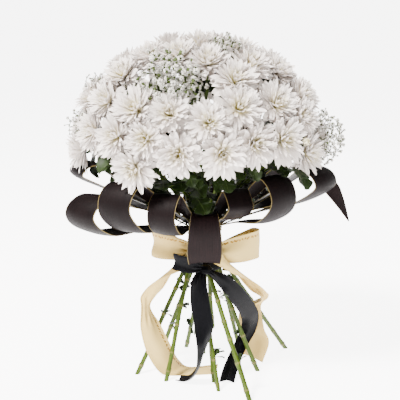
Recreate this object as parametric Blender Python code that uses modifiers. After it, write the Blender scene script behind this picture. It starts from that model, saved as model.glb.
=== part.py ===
"""A hand-tied bunch of white spray chrysanthemums that stands on its cut stems.

Metres, +Z up, front towards -Y. The stems cross in a spiral at the tie and spread
below it. A collar of dark leaves rolled into loops sits under the dome of blooms, with
gypsophila between the blooms and a cream and a black ribbon round the stems.
"""

import math

import bmesh
import bpy
import numpy as np
from mathutils import Vector
from mathutils.bvhtree import BVHTree

MM = 0.001
GAP = 0.3 * MM

# The whole bunch is moved by this much at the end, so that its box is centred.
CENTRING = (0.0, 0.0004, 0.0)

# Dome on which the centres of the blooms' faces lie.
DOME_CENTRE = np.array((-0.013, 0.0, 0.314))
DOME_REACH = np.array((0.167, 0.150, 0.140))
BLOOM_SPACING = 44 * MM
FACE_HEIGHT = 20 * MM
HEART_DEPTH = 12 * MM

# Blooms: azimuth and elevation in degrees on the dome, radius in millimetres.
FRONT_BLOOMS = (
    (211, 10, 33), (229, 9, 34), (240, -7, 34), (245, 8, 33), (261, 1, 34), (280, 3, 36),
    (296, 6, 34), (312, 7, 37), (332, -3, 33), (214, 28, 34), (238, 24, 37), (256, 23, 33),
    (275, 17, 33), (290, 26, 37), (313, 27, 35), (329, 18, 34), (345, 30, 33),
    (210, 46, 33), (293, 43, 34), (342, 48, 33), (314, 54, 34), (221, 62, 32),
    (247, 64, 33), (275, 59, 33), (334, 67, 33), (276, 81, 33),
)
BACK_BLOOMS = (
    (354, 2, 33), (15, -5, 34), (37, 4, 35), (59, -5, 34), (80, 4, 35), (102, -5, 34),
    (124, 4, 35), (145, -5, 34), (167, 4, 34), (189, -4, 33),
    (10, 27, 34), (36, 30, 35), (62, 27, 35), (88, 30, 35), (114, 27, 35), (139, 30, 34),
    (164, 27, 34), (189, 28, 33),
    (20, 51, 34), (58, 53, 34), (96, 51, 35), (134, 53, 34), (172, 51, 33),
    (60, 74, 33), (150, 74, 33),
)
BLOOMS = FRONT_BLOOMS + BACK_BLOOMS
TOP_SPRAYS_FROM = 44

# Stems: where the cut end is on the floor, its height and the stem's radius in mm.
NECK_CENTRE = np.array((-0.008, 0.0, 0.190))
OUTER_RING = 12.0 * MM
INNER_RING = 4.7 * MM
OUTER_STEMS = (
    (0.113, 0.082, 0.0, 3.2), (0.047, 0.060, 0.0, 3.0), (-0.031, 0.087, 0.0, 3.2),
    (-0.069, 0.040, 0.0, 3.2), (-0.096, -0.025, 0.0, 3.2), (-0.056, -0.051, 0.0, 3.2),
    (0.013, -0.087, 0.0, 2.7), (0.052, -0.125, 0.0, 3.4), (0.067, -0.013, 0.0, 3.2),
)
INNER_STEMS = (
    (0.010, 0.030, 0.050, 2.9), (-0.006, 0.060, 0.0, 2.9),
    (-0.018, 0.050, 0.036, 2.9), (0.007, -0.055, 0.0, 2.6),
)
FIRST_NECK_ANGLE = 297
FIRST_HEAD_ANGLE = 211
STALK_RADIUS = 1.5 * MM
CALYX_RADIUS = 5.0 * MM
CALYX_HEIGHT = 6.0 * MM
STEM_CLEARANCE = 0.6 * MM

# Half-open bud: azimuth and elevation on the dome, the spray it grows on.
BUD = (322, 5)
BUD_SPRAY = 3

GREEN = (0.16, 0.27, 0.07)
WHITE = (0.86, 0.84, 0.80)
DARK_LEAF = (0.045, 0.030, 0.032)
CREAM = (0.80, 0.68, 0.47)
BLACK = (0.012, 0.012, 0.014)
TWINE = (0.45, 0.34, 0.20)


def unit(v):
    return v / np.linalg.norm(v)


def around(degrees):
    a = math.radians(degrees)
    return np.array((math.cos(a), math.sin(a), 0.0))


def bezier(a, b, c, d, steps):
    t = np.linspace(0, 1, steps + 1)[:, None]
    return a * (1 - t) ** 3 + 3 * b * t * (1 - t) ** 2 + 3 * c * t * t * (1 - t) + d * t ** 3


def smooth_rows(rows, places, span=24 * MM):
    """A Catmull-Rom curve through rows of numbers, cut into spans of about one length.

    The first numbers of a row, as many as places says, are where it is.
    """
    rows = np.array(rows, dtype=float)
    ends = np.vstack((2 * rows[0] - rows[1], rows, 2 * rows[-1] - rows[-2]))
    out = []
    for i in range(len(rows) - 1):
        p0, p1, p2, p3 = ends[i:i + 4]
        steps = max(1, math.ceil(np.linalg.norm((p2 - p1)[:places]) / span))
        for s in range(steps):
            t = s / steps
            out.append(0.5 * (2 * p1 + (p2 - p0) * t + (2 * p0 - 5 * p1 + 4 * p2 - p3) * t * t
                              + (3 * p1 - p0 - 3 * p2 + p3) * t ** 3))
    out.append(rows[-1])
    return np.array(out)


class Line:
    """The middle line of a stem, stalk or twig: points, radii, its owner and held points."""

    def __init__(self, points, radii, owner, held, root=None):
        self.points = np.array(points)
        self.radii = np.broadcast_to(radii, len(self.points)).astype(float)
        self.owner = owner
        self.held = np.zeros(len(self.points), bool)
        self.held[list(held)] = True
        self.root = root


# Where the blooms and the stems go

def on_sphere(azimuth, elevation):
    a, e = math.radians(azimuth), math.radians(elevation)
    return np.array((math.cos(e) * math.cos(a), math.cos(e) * math.sin(a), math.sin(e)))


def settle_blooms():
    """Face centres and outward directions, pushed apart along the dome where crowded."""
    seeds = np.array([on_sphere(azimuth, elevation) for azimuth, elevation, _ in BLOOMS])
    places = seeds.copy()
    for _ in range(200):
        world = places * DOME_REACH
        apart = world[:, None] - world[None]
        far = np.linalg.norm(apart, axis=2) + np.eye(len(world))
        push = np.clip(BLOOM_SPACING - far, 0, None) * (1 - np.eye(len(world)))
        move = (apart / far[..., None] * push[..., None]).sum(1) / DOME_REACH
        places = places + 0.3 * move + 0.02 * (seeds - places)
        places /= np.linalg.norm(places, axis=1)[:, None]
    outward = places / DOME_REACH
    outward /= np.linalg.norm(outward, axis=1)[:, None]
    return DOME_CENTRE + places * DOME_REACH, outward


def share_out():
    """The spray that each bloom grows on: nine round the side, then four on top."""
    owners = []
    for azimuth, elevation, _ in BLOOMS:
        if elevation >= TOP_SPRAYS_FROM:
            owners.append(9 + round(azimuth / 90) % 4)
        else:
            owners.append(round((azimuth - FIRST_HEAD_ANGLE) / 40) % 9)
    return owners


def segment_gaps(p0, p1, q0, q1):
    """Nearest points of segment pairs, as shares along each, and the way between them."""
    u, v, w = p1 - p0, q1 - q0, p0 - q0
    a, b, c = (u * u).sum(1), (u * v).sum(1), (v * v).sum(1)
    d, e = (u * w).sum(1), (v * w).sum(1)
    s = np.clip((b * e - c * d) / np.maximum(a * c - b * b, 1e-12), 0, 1)
    t = np.clip((b * s + e) / c, 0, 1)
    s = np.clip((b * t - d) / a, 0, 1)
    return s, t, w + u * s[:, None] - v * t[:, None]


def bend_clear(lines, rounds=300):
    """Bends lines of different owners apart. Held points stay, roots follow their parent."""
    start = np.cumsum([0] + [len(line.points) for line in lines])
    points = np.vstack([line.points for line in lines])
    held = np.concatenate([line.held for line in lines])
    first = np.concatenate([np.arange(s, s + len(line.points) - 1)
                            for s, line in zip(start, lines)])
    owner = np.concatenate([[line.owner] * (len(line.points) - 1) for line in lines])
    radius = np.concatenate([(line.radii[:-1] + line.radii[1:]) / 2 for line in lines])
    still = held[first] & held[first + 1]
    i, j = np.triu_indices(len(first), 1)
    keep = (owner[i] != owner[j]) & ~(still[i] & still[j])
    i, j = i[keep], j[keep]
    need = radius[i] + radius[j] + STEM_CLEARANCE
    ends = np.zeros(len(points), bool)
    ends[start[:-1]] = True
    ends[start[1:] - 1] = True
    inner = np.where(~ends & ~held)[0]
    for _ in range(rounds):
        a, b = first[i], first[j]
        s, t, way = segment_gaps(points[a], points[a + 1], points[b], points[b + 1])
        gap = np.linalg.norm(way, axis=1)
        near = gap < need
        push = way[near] / np.maximum(gap[near], 1e-6)[:, None] * (need - gap)[near][:, None]
        move = np.zeros_like(points)
        for index, share, sign in ((a, 1 - s, 1), (a + 1, s, 1), (b, 1 - t, -1), (b + 1, t, -1)):
            np.add.at(move, index[near], 0.4 * sign * push * share[near][:, None])
        move[inner] += 0.02 * ((points[inner - 1] + points[inner + 1]) / 2 - points[inner])
        points[~held] += move[~held]
        for s, line in zip(start, lines):
            if line.root:
                parent, place = line.root
                points[s] = points[start[parent] + place]
    for s, line in zip(start, lines):
        line.points = points[s:s + len(line.points)]
    return (gap - need).min()


def spray_lines(number, faces, outward, owners, first_line):
    """The main stem of a spray, then a stalk to each of its blooms."""
    if number < len(OUTER_STEMS):
        x, y, height, thick = OUTER_STEMS[number]
        neck = NECK_CENTRE + OUTER_RING * around(FIRST_NECK_ANGLE + 40 * number)
        share, lift = 0.54, 0.022
    else:
        x, y, height, thick = INNER_STEMS[number - len(OUTER_STEMS)]
        neck = NECK_CENTRE + INNER_RING * around(90 * (number - len(OUTER_STEMS)))
        share, lift = 0.68, 0.0
    foot = np.array((x, y, 0.0))
    foot = foot + (neck - foot) * height / neck[2]
    own = [b for b, owner in enumerate(owners) if owner == number]
    aim = np.mean([faces[b] for b in own], axis=0)
    fork = neck + (aim - neck) * share + np.array((0, 0, lift))
    up = unit(neck - foot)
    below = foot + (neck - foot) * np.array((0, 0.5, 0.88, 1))[:, None]
    above = bezier(neck, neck + up * 0.03, fork - unit(aim - neck) * 0.02, fork, 4)
    points = np.vstack((below, above[1:]))
    main = Line(points, np.linspace(thick, 0.75 * thick, len(points)) * MM, number, (0, 3))
    stalks = []
    order = sorted(own, key=lambda b: -np.linalg.norm(faces[b] - fork))
    ends = [(b, faces[b] - outward[b] * FACE_HEIGHT, outward[b]) for b in order]
    if number == BUD_SPRAY:
        way = unit(on_sphere(*BUD) / DOME_REACH)
        ends.append((None, DOME_CENTRE + on_sphere(*BUD) * DOME_REACH - way * 4 * MM, way))
    for rank, (bloom, end, way) in enumerate(ends):
        place = len(points) - 1 - min(rank, 2)
        root = points[place]
        length = np.linalg.norm(end - root)
        flare = end - way * CALYX_HEIGHT
        path = bezier(root, root + up * 0.25 * length, flare - way * 0.35 * length, flare, 3)
        sizes = np.array((1.0, 1.0, 0.95, 1.0, CALYX_RADIUS / STALK_RADIUS)) * STALK_RADIUS
        rows = [*path, end]
        if bloom is None:
            rows += [end + way * 9 * MM, end + way * 16 * MM]
            sizes = np.append(sizes, (6.2 * MM, 1.5 * MM))
        held = (0, *range(3, len(rows)))
        stalks.append((bloom, Line(rows, sizes, number, held, (first_line, place))))
    return main, stalks


# Meshes

def make_material(name, colour, roughness):
    material = bpy.data.materials.new(name)
    material.diffuse_color = (*colour, 1)
    material.use_nodes = True
    shader = material.node_tree.nodes["Principled BSDF"]
    shader.inputs["Base Color"].default_value = (*colour, 1)
    shader.inputs["Roughness"].default_value = roughness
    return material


def new_object(name, mesh, collection):
    made = bpy.data.objects.new(name, mesh)
    collection.objects.link(made)
    return made


def mesh_from(work, name="piece"):
    mesh = bpy.data.meshes.new(name)
    work.to_mesh(mesh)
    work.free()
    return mesh


def evaluated_mesh(obj):
    """The object's mesh with its modifiers, or its curve, turned into triangles."""
    bpy.context.view_layer.update()
    graph = bpy.context.evaluated_depsgraph_get()
    mesh = bpy.data.meshes.new_from_object(obj.evaluated_get(graph), depsgraph=graph)
    work = bmesh.new()
    work.from_mesh(mesh)
    bmesh.ops.remove_doubles(work, verts=work.verts, dist=1e-6)
    bmesh.ops.triangulate(work, faces=work.faces)
    work.to_mesh(mesh)
    work.free()
    return mesh


def outward_facing(mesh):
    work = bmesh.new()
    work.from_mesh(mesh)
    bmesh.ops.recalc_face_normals(work, faces=work.faces)
    if work.calc_volume(signed=True) < 0:
        bmesh.ops.reverse_faces(work, faces=work.faces)
    work.to_mesh(mesh)
    work.free()
    return mesh


def tube(line, sides):
    """A tapered stalk: a curve with a round section and closed ends, as a mesh."""
    curve = bpy.data.curves.new("stalk", "CURVE")
    curve.dimensions = "3D"
    curve.bevel_depth = 1.0
    curve.bevel_resolution = sides // 2 - 2
    curve.use_fill_caps = True
    spline = curve.splines.new("POLY")
    spline.points.add(len(line.points) - 1)
    for place, point, radius in zip(spline.points, line.points, line.radii):
        place.co = (*point, 1)
        place.radius = radius
    holder = new_object("stalk", curve, bpy.context.scene.collection)
    mesh = evaluated_mesh(holder)
    bpy.data.objects.remove(holder)
    bpy.data.curves.remove(curve)
    return outward_facing(mesh)


def cut_flat(mesh, point, normal):
    """Cuts off what lies on the normal's side of a plane and closes the cut."""
    work = bmesh.new()
    work.from_mesh(mesh)
    cut = bmesh.ops.bisect_plane(work, geom=work.verts[:] + work.edges[:] + work.faces[:],
                                 plane_co=point, plane_no=normal, clear_outer=True)
    edges = [e for e in cut["geom_cut"] if isinstance(e, bmesh.types.BMEdge)]
    bmesh.ops.contextual_create(work, geom=edges)
    bmesh.ops.triangulate(work, faces=work.faces)
    work.to_mesh(mesh)
    work.free()
    return outward_facing(mesh)


def thickened(work, thickness):
    """Solidify on an open surface, applied. Both faces keep the same triangles."""
    holder = new_object("sheet", mesh_from(work), bpy.context.scene.collection)
    solid = holder.modifiers.new("thickness", "SOLIDIFY")
    solid.thickness = thickness
    solid.offset = 0
    result = evaluated_mesh(holder)
    bpy.data.objects.remove(holder)
    return outward_facing(result)


def strip(rows, thickness, closed=False):
    """A band through rows of points, given a thickness."""
    work = bmesh.new()
    lines = [[work.verts.new(p) for p in row] for row in rows]
    columns = len(rows[0])
    for one, two in zip(lines, lines[1:]):
        for k in range(columns if closed else columns - 1):
            n = (k + 1) % columns
            work.faces.new((one[k], one[n], two[n]))
            work.faces.new((one[k], two[n], two[k]))
    return thickened(work, thickness)


# Edges shorter than the first are merged, or than the next where that opens the mesh.
SHORTEST_EDGES = (0.12 * MM, 0.04 * MM, 0.001 * MM)


def union_of(meshes):
    """One Boolean union of a piece with all that grows from it."""
    scene = bpy.context.scene.collection
    body = new_object("fused", meshes[0], scene)
    others = bpy.data.collections.new("to fuse")
    scene.children.link(others)
    for mesh in meshes[1:]:
        new_object("grown", mesh, others)
    if len(meshes) > 1:
        union = body.modifiers.new("union", "BOOLEAN")
        union.operation = "UNION"
        union.operand_type = "COLLECTION"
        union.collection = others
        union.solver = "MANIFOLD"
    result = evaluated_mesh(body)
    for obj in list(others.objects):
        bpy.data.objects.remove(obj)
    bpy.data.collections.remove(others)
    bpy.data.objects.remove(body)
    for shortest in SHORTEST_EDGES:
        work = bmesh.new()
        work.from_mesh(result)
        bmesh.ops.dissolve_degenerate(work, edges=work.edges, dist=shortest)
        bmesh.ops.triangulate(work, faces=work.faces)
        if all(edge.is_manifold for edge in work.edges):
            break
    return mesh_from(work)


def islands(work):
    left, found = set(work.verts), []
    while left:
        island, edge = set(), [left.pop()]
        while edge:
            vert = edge.pop()
            island.add(vert)
            for link in vert.link_edges:
                other = link.other_vert(vert)
                if other in left:
                    left.discard(other)
                    edge.append(other)
        found.append(island)
    return found


SCRAP_POINTS = 30


def bodies_of(mesh):
    """The separate bodies of a mesh, the largest first. Loose scraps are left out."""
    whole = bmesh.new()
    whole.from_mesh(mesh)
    whole.verts.ensure_lookup_table()
    found = [{vert.index for vert in island} for island in islands(whole)]
    whole.free()
    bodies = []
    for island in sorted(found, key=len, reverse=True):
        if bodies and len(island) < SCRAP_POINTS:
            continue
        work = bmesh.new()
        work.from_mesh(mesh)
        rest = [vert for vert in work.verts if vert.index not in island]
        bmesh.ops.delete(work, geom=rest, context="VERTS")
        bodies.append(mesh_from(work))
    return bodies


def fuse(meshes):
    """A piece and all that grows from it as one body."""
    bodies = bodies_of(union_of(meshes))
    if len(bodies) > 1:
        print("  loose and left out:", [len(body.vertices) for body in bodies[1:]])
    return bodies[0]


def corners(mesh):
    """The mesh's triangles as an array of corner points."""
    points = np.array([v.co[:] for v in mesh.vertices])
    return points[np.array([p.vertices[:] for p in mesh.polygons])]


def search_tree(mesh):
    return BVHTree.FromPolygons([v.co[:] for v in mesh.vertices],
                                [p.vertices[:] for p in mesh.polygons])


class Surroundings:
    """Meshes that a new piece has to stay clear of."""

    def __init__(self):
        self.trees = {}

    def add(self, name, mesh):
        self.trees[name] = search_tree(mesh)

    def clear_of(self, point, radius):
        here = Vector(point)
        for tree in self.trees.values():
            near, normal, _, distance = tree.find_nearest(here, 0.02)
            if near is None:
                continue
            inside = (here - near).dot(normal) < 0 and distance < 0.012
            if distance < radius or inside:
                return False
        return True

    def line_clear(self, a, b, radius):
        steps = max(2, int(np.linalg.norm(b - a) / 0.0025))
        return all(self.clear_of(a + (b - a) * s / steps, radius) for s in range(steps + 1))

    def touches(self, mesh, besides=()):
        tree = search_tree(mesh)
        return any(tree.overlap(other) for name, other in self.trees.items()
                   if name not in besides)


# Blooms

BLOOM_COLUMNS = 12
TIERS = ((101, 1.00), (70, 0.90), (35, 0.66))
NOTCH = 0.58
CROWN = 0.40
SISTER_REACH = 0.64
SISTER_ANGLE = 26


def nearest_on_triangle(point, a, b, c):
    ab, ac, ap = b - a, c - a, point - a
    d1, d2 = ab.dot(ap), ac.dot(ap)
    if d1 <= 0 and d2 <= 0:
        return a
    bp = point - b
    d3, d4 = ab.dot(bp), ac.dot(bp)
    if d3 >= 0 and d4 <= d3:
        return b
    vc = d1 * d4 - d3 * d2
    if vc <= 0 <= d1 and d3 <= 0:
        return a + ab * (d1 / (d1 - d3))
    cp = point - c
    d5, d6 = ab.dot(cp), ac.dot(cp)
    if d6 >= 0 and d5 <= d6:
        return c
    vb = d5 * d2 - d1 * d6
    if vb <= 0 <= d2 and d6 <= 0:
        return a + ac * (d2 / (d2 - d6))
    va = d3 * d6 - d5 * d4
    if va <= 0 and d4 - d3 >= 0 and d5 - d6 >= 0:
        return b + (c - b) * ((d4 - d3) / ((d4 - d3) + (d5 - d6)))
    whole = 1 / (va + vb + vc)
    return a + ab * (vb * whole) + ac * (vc * whole)


def walls_from_triangles(heart, triangles, reach, clearance):
    """Planes that keep a bloom on its own side of each triangle near it."""
    centres = triangles.mean(axis=1)
    sizes = np.linalg.norm(triangles - centres[:, None], axis=2).max(axis=1)
    close = np.linalg.norm(centres - heart, axis=1) - sizes < reach
    walls = []
    here = Vector(heart)
    for triangle in triangles[close]:
        point = nearest_on_triangle(here, *(Vector(p) for p in triangle))
        way = np.array(point) - heart
        length = np.linalg.norm(way)
        if 1e-6 < length < reach:
            walls.append((*(way / length), length - clearance))
    return walls


def bloom_mesh(face, normal, radius, spin, sisters, walls):
    """Tiers of pointed petals round a heart, each point kept inside the bloom's walls."""
    heart = face - normal * HEART_DEPTH
    side = unit(np.cross(normal, (0.0, 0.0, 1.0) if abs(normal[2]) < 0.9 else (1.0, 0.0, 0.0)))
    across = np.cross(normal, side)
    base = face - normal * (FACE_HEIGHT - GAP)
    floor = (*-normal, (heart - base) @ normal)
    planes = np.array([floor, *walls])

    def place(angle, tip, length):
        out = side * math.cos(angle) + across * math.sin(angle)
        way = normal * math.cos(tip) + out * math.sin(tip)
        for toward, far in sisters:
            if way @ toward > math.cos(math.radians(SISTER_ANGLE)):
                length = max(length, SISTER_REACH * far)
        facing = planes[:, :3] @ way
        ahead = facing > 1e-6
        if ahead.any():
            length = min(length, (planes[ahead, 3] / facing[ahead]).min())
        return heart + way * max(length, 3 * MM)

    work = bmesh.new()
    tiers = []
    for tier, (tip, reach) in enumerate(TIERS):
        row = []
        for column in range(BLOOM_COLUMNS):
            angle = spin + 2 * math.pi * column / BLOOM_COLUMNS
            size = radius * reach * (1 if (column + tier) % 2 == 0 else NOTCH)
            row.append(work.verts.new(place(angle, math.radians(tip), size)))
        tiers.append(row)
    top = work.verts.new(place(0, 0, CROWN * radius))
    foot = []
    for k in range(BLOOM_COLUMNS // 2):
        angle = spin + 4 * math.pi * (k + 0.25) / BLOOM_COLUMNS
        out = side * math.cos(angle) + across * math.sin(angle)
        foot.append(work.verts.new(base + out * CALYX_RADIUS))
    for lower, upper in zip(tiers, tiers[1:]):
        for k in range(BLOOM_COLUMNS):
            n = (k + 1) % BLOOM_COLUMNS
            work.faces.new((lower[k], lower[n], upper[n]))
            work.faces.new((lower[k], upper[n], upper[k]))
    for k in range(BLOOM_COLUMNS):
        work.faces.new((tiers[-1][k], tiers[-1][(k + 1) % BLOOM_COLUMNS], top))
    low = tiers[0]
    for k, corner in enumerate(foot):
        after = foot[(k + 1) % len(foot)]
        third = low[(2 * k + 2) % BLOOM_COLUMNS]
        work.faces.new((corner, low[2 * k + 1], low[2 * k]))
        work.faces.new((corner, third, low[2 * k + 1]))
        work.faces.new((corner, after, third))
    work.faces.new(foot[::-1])
    bmesh.ops.triangulate(work, faces=work.faces)
    return outward_facing(mesh_from(work, "bloom"))


def nearest_links(members, places):
    """Pairs of sister blooms, each bloom joined to the nearest of those before it."""
    linked, left, pairs = [members[0]], list(members[1:]), []
    while left:
        _, a, b = min((np.linalg.norm(places[a] - places[b]), a, b)
                      for a in linked for b in left)
        pairs.append((a, b))
        linked.append(b)
        left.remove(b)
    return pairs


def spray_blooms(number, faces, outward, owners, obstacles):
    """The blooms of a spray: sisters are joined where they meet, others kept apart."""
    hearts = faces - outward * HEART_DEPTH
    sizes = np.array([radius for _, _, radius in BLOOMS]) * MM
    own = [b for b, owner in enumerate(owners) if owner == number]
    pairs = nearest_links(own, hearts)
    meshes = []
    for b in own:
        reach = 1.7 * sizes[b]
        near = np.vstack([corners(mesh) for bloom, mesh in obstacles if bloom != b])
        walls = walls_from_triangles(hearts[b], near, reach, GAP * 1.5)
        for other, owner in enumerate(owners):
            way = hearts[other] - hearts[b]
            far = np.linalg.norm(way)
            if owner != number and far < reach + 1.7 * sizes[other]:
                share = sizes[b] / (sizes[b] + sizes[other])
                walls.append((*(way / far), far * share - GAP))
        sisters = [(unit(hearts[q] - hearts[p]) * (1 if p == b else -1),
                    np.linalg.norm(hearts[q] - hearts[p])) for p, q in pairs if b in (p, q)]
        meshes.append(bloom_mesh(faces[b], outward[b], sizes[b], 0.7 * b, sisters, walls))
    return bodies_of(union_of(meshes))


# Collar of dark leaves: azimuth, reach, heights of the lower and the upper run, width
# in mm, degrees that the loop is turned to face the front.
LOOPED_LEAVES = (
    (185, 0.168, 0.258, 0.288, 48, 22), (207, 0.176, 0.204, 0.254, 50, 24),
    (226, 0.158, 0.214, 0.276, 46, 16), (247, 0.132, 0.211, 0.262, 36, 2),
    (297, 0.106, 0.227, 0.264, 35, 0), (320, 0.134, 0.222, 0.280, 43, -10),
    (342, 0.168, 0.243, 0.286, 48, -22), (48, 0.152, 0.212, 0.268, 46, 0),
    (92, 0.142, 0.204, 0.262, 46, 0), (138, 0.156, 0.214, 0.272, 46, 0),
)
LEAF_BASE_WIDTH = 4.8 * MM
LEAF_THICKNESS = 0.9 * MM
LEAF_RING = 16.2 * MM
LEAF_START = ((LEAF_RING + 0.7 * MM, 0.184), (LEAF_RING + 0.1 * MM, 0.192),
              (LEAF_RING + 4.3 * MM, 0.200))


def leaf_rows(azimuth, rows):
    """Edge points of a strip that runs in an upright plane through the tie.

    A row is the distance from the tie's middle, the height, the width and the degrees
    that the width is turned from square to that plane.
    """
    out = around(azimuth)
    centre = NECK_CENTRE * (1, 1, 0)
    return [[centre + out * r + around(azimuth + 90 + turn) * s * w / 2 + np.array((0, 0, z))
             for s in (-1, 1)] for r, z, w, turn in smooth_rows(rows, 2)]


def looped_leaf_rows(azimuth, reach, low, high, width, turn):
    """A leaf rolled back on itself, with its stalk and its tip at the tie."""
    wide, base = width * MM, LEAF_BASE_WIDTH
    rows = [(*place, base * wider, 0) for place, wider in zip(LEAF_START, (1, 1, 1.2))]
    rows += [
        (0.47 * reach, 0.50 * low + 0.50 * 0.206, 0.60 * wide, 0.4 * turn),
        (0.84 * reach, low, wide, turn), (reach, (low + high) / 2, wide, turn),
        (0.86 * reach, high, wide, turn),
        (0.54 * reach, 0.45 * high + 0.55 * 0.218, 0.64 * wide, 0.4 * turn),
        (0.034, 0.2145, 1.9 * base, 0), (0.0275, 0.2075, 1.1 * base, 0),
    ]
    return leaf_rows(azimuth, rows)


FRONT_LEAF_ANGLE = 272
FRONT_LEAF = (
    (0.034, 0.2100, 12 * MM), (0.056, 0.229, 27 * MM), (0.075, 0.228, 35 * MM),
    (0.081, 0.206, 42 * MM), (0.076, 0.184, 45 * MM), (0.071, 0.172, 43 * MM),
    (0.067, 0.166, 40 * MM), (0.063, 0.171, 36 * MM),
)
POINTED_LEAF_ANGLE = 5
# Pointed leaf past the tie: x, y, z, the way its width points, its width in mm.
POINTED_LEAF = (
    (0.026, 0.003, 0.208, 0, 1, 0, 11), (0.070, 0.003, 0.234, 0, 1, 0, 22),
    (0.110, 0.000, 0.262, -0.1, 1, 0, 25), (0.134, -0.006, 0.276, 0.4, 0.9, 0.3, 24),
    (0.149, -0.010, 0.268, 0.8, 0.4, 0.5, 22), (0.163, -0.012, 0.252, 0.85, 0.1, 0.5, 20),
    (0.176, -0.013, 0.230, 0.85, 0.1, 0.45, 11), (0.186, -0.014, 0.209, 0.85, 0.1, 0.4, 1.4),
)


def directed_rows(rows):
    """Edge points from rows of x, y, z, the way the width points, and the width."""
    edges = []
    for x, y, z, a, b, c, width in smooth_rows(rows, 3):
        half = unit(np.array((a, b, c))) * width / 2
        edges.append([np.array((x, y, z)) - half, np.array((x, y, z)) + half])
    return edges


def dark_leaves():
    """Edge rows of every leaf of the collar, in order of azimuth from the left."""
    leaves = [looped_leaf_rows(*row) for row in LOOPED_LEAVES]
    start = [(*place, LEAF_BASE_WIDTH) for place in LEAF_START]
    leaves.append(leaf_rows(FRONT_LEAF_ANGLE, [(*row, 0) for row in (*start, *FRONT_LEAF)]))
    out, side = around(POINTED_LEAF_ANGLE), around(POINTED_LEAF_ANGLE + 90)
    rows = [(*(NECK_CENTRE * (1, 1, 0) + out * r + np.array((0, 0, z))), *side,
             LEAF_BASE_WIDTH) for r, z in LEAF_START]
    rows += [(x, y, z, a, b, c, width * MM) for x, y, z, a, b, c, width in POINTED_LEAF]
    leaves.append(directed_rows(rows))
    return leaves


def leaf_guides(rows, owner, reach=0.115):
    """Held lines along a dark leaf near the tie, which the stems are bent clear of."""
    rows = np.array(rows)
    kept = rows[np.linalg.norm(rows.mean(axis=1)[:, :2] - NECK_CENTRE[:2], axis=1) < reach]
    runs = np.split(kept, np.where(np.diff(np.arange(len(kept))) > 1)[0] + 1)
    guides = []
    for run in runs:
        for share in (0.0, 0.5, 1.0):
            points = run[:, 0] * (1 - share) + run[:, 1] * share
            jump = np.where(np.linalg.norm(np.diff(points, axis=0), axis=1) > 0.05)[0]
            for piece in np.split(points, jump + 1):
                if len(piece) > 1:
                    guides.append(Line(piece, 0.5 * MM, owner, range(len(piece))))
    return guides


# Ribbons

CREAM_WIDTH = 38 * MM
BLACK_WIDTH = 25 * MM
RIBBON_THICKNESS = 0.7 * MM
CREAM_LEVELS = (0.164, 0.173, 0.181)
BLACK_LEVELS = (0.145, 0.152, 0.159)
CREAM_KNOT = (-0.007, -0.0299, 0.167)
BLACK_KNOT = (-0.004, -0.0400, 0.150)
KNOT_LEAN = 0.59
CREAM_PIECES = (
    # right loop
    ((-0.002, -0.031, 0.170, 0, 0, 1, 0.34), (0.022, -0.042, 0.174, 0, 0, 1, 0.80),
     (0.050, -0.040, 0.179, 0.1, 0, 1, 1), (0.067, -0.026, 0.182, 0, 0, 1, 1),
     (0.057, -0.010, 0.183, 0, 0, 1, 0.85), (0.034, -0.013, 0.179, 0, 0, 1, 0.55),
     (0.014, -0.021, 0.174, 0, 0, 1, 0.35), (-0.002, -0.030, 0.170, 0, 0, 1, 0.25)),
    # left loop
    ((-0.010, -0.031, 0.170, 0, 0, 1, 0.34), (-0.036, -0.038, 0.177, 0, 0, 1, 0.75),
     (-0.062, -0.034, 0.180, 0, 0, 1, 0.9), (-0.074, -0.020, 0.181, 0, 0, 1, 0.9),
     (-0.064, -0.008, 0.182, 0, 0, 1, 0.8), (-0.045, -0.012, 0.178, 0, 0, 1, 0.55),
     (-0.027, -0.021, 0.173, 0, 0, 1, 0.35), (-0.010, -0.030, 0.170, 0, 0, 1, 0.25)),
    # left tail
    ((-0.010, -0.031, 0.169, 0, 0, 1, 0.34), (-0.034, -0.046, 0.163, 0.5, 0, 1, 0.85),
     (-0.056, -0.046, 0.146, 1, 0, 0.8, 1), (-0.073, -0.042, 0.120, 1, 0.2, 0.3, 0.8),
     (-0.082, -0.037, 0.098, 0.6, 1, 0, 0.55), (-0.076, -0.036, 0.070, 1, 0.7, 0.1, 0.8),
     (-0.066, -0.032, 0.038, 1, 0.4, 0.2, 0.9), (-0.052, -0.026, 0.012, 0.9, 0.8, 0.4, 0.9),
     (-0.034, -0.018, 0.0018, 0.5, 1, 0.02, 0.95), (0.012, -0.010, 0.0012, 0.1, 1, 0, 1)),
    # right tail
    ((-0.002, -0.031, 0.169, 0, 0, 1, 0.34), (0.020, -0.048, 0.162, -0.5, 0, 1, 0.85),
     (0.044, -0.048, 0.146, -1, 0, 0.7, 1), (0.064, -0.040, 0.122, -0.8, -0.5, 0.3, 0.8),
     (0.074, -0.022, 0.106, -0.4, -1, 0.1, 0.65), (0.058, 0.006, 0.086, -1, -0.5, 0, 0.8),
     (0.060, 0.014, 0.056, -1, 0.1, 0.1, 0.9), (0.068, 0.016, 0.036, -1, 0.2, 0.2, 0.9),
     (0.060, 0.014, 0.010, -1, 0.2, 0.4, 0.9)),
)
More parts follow.
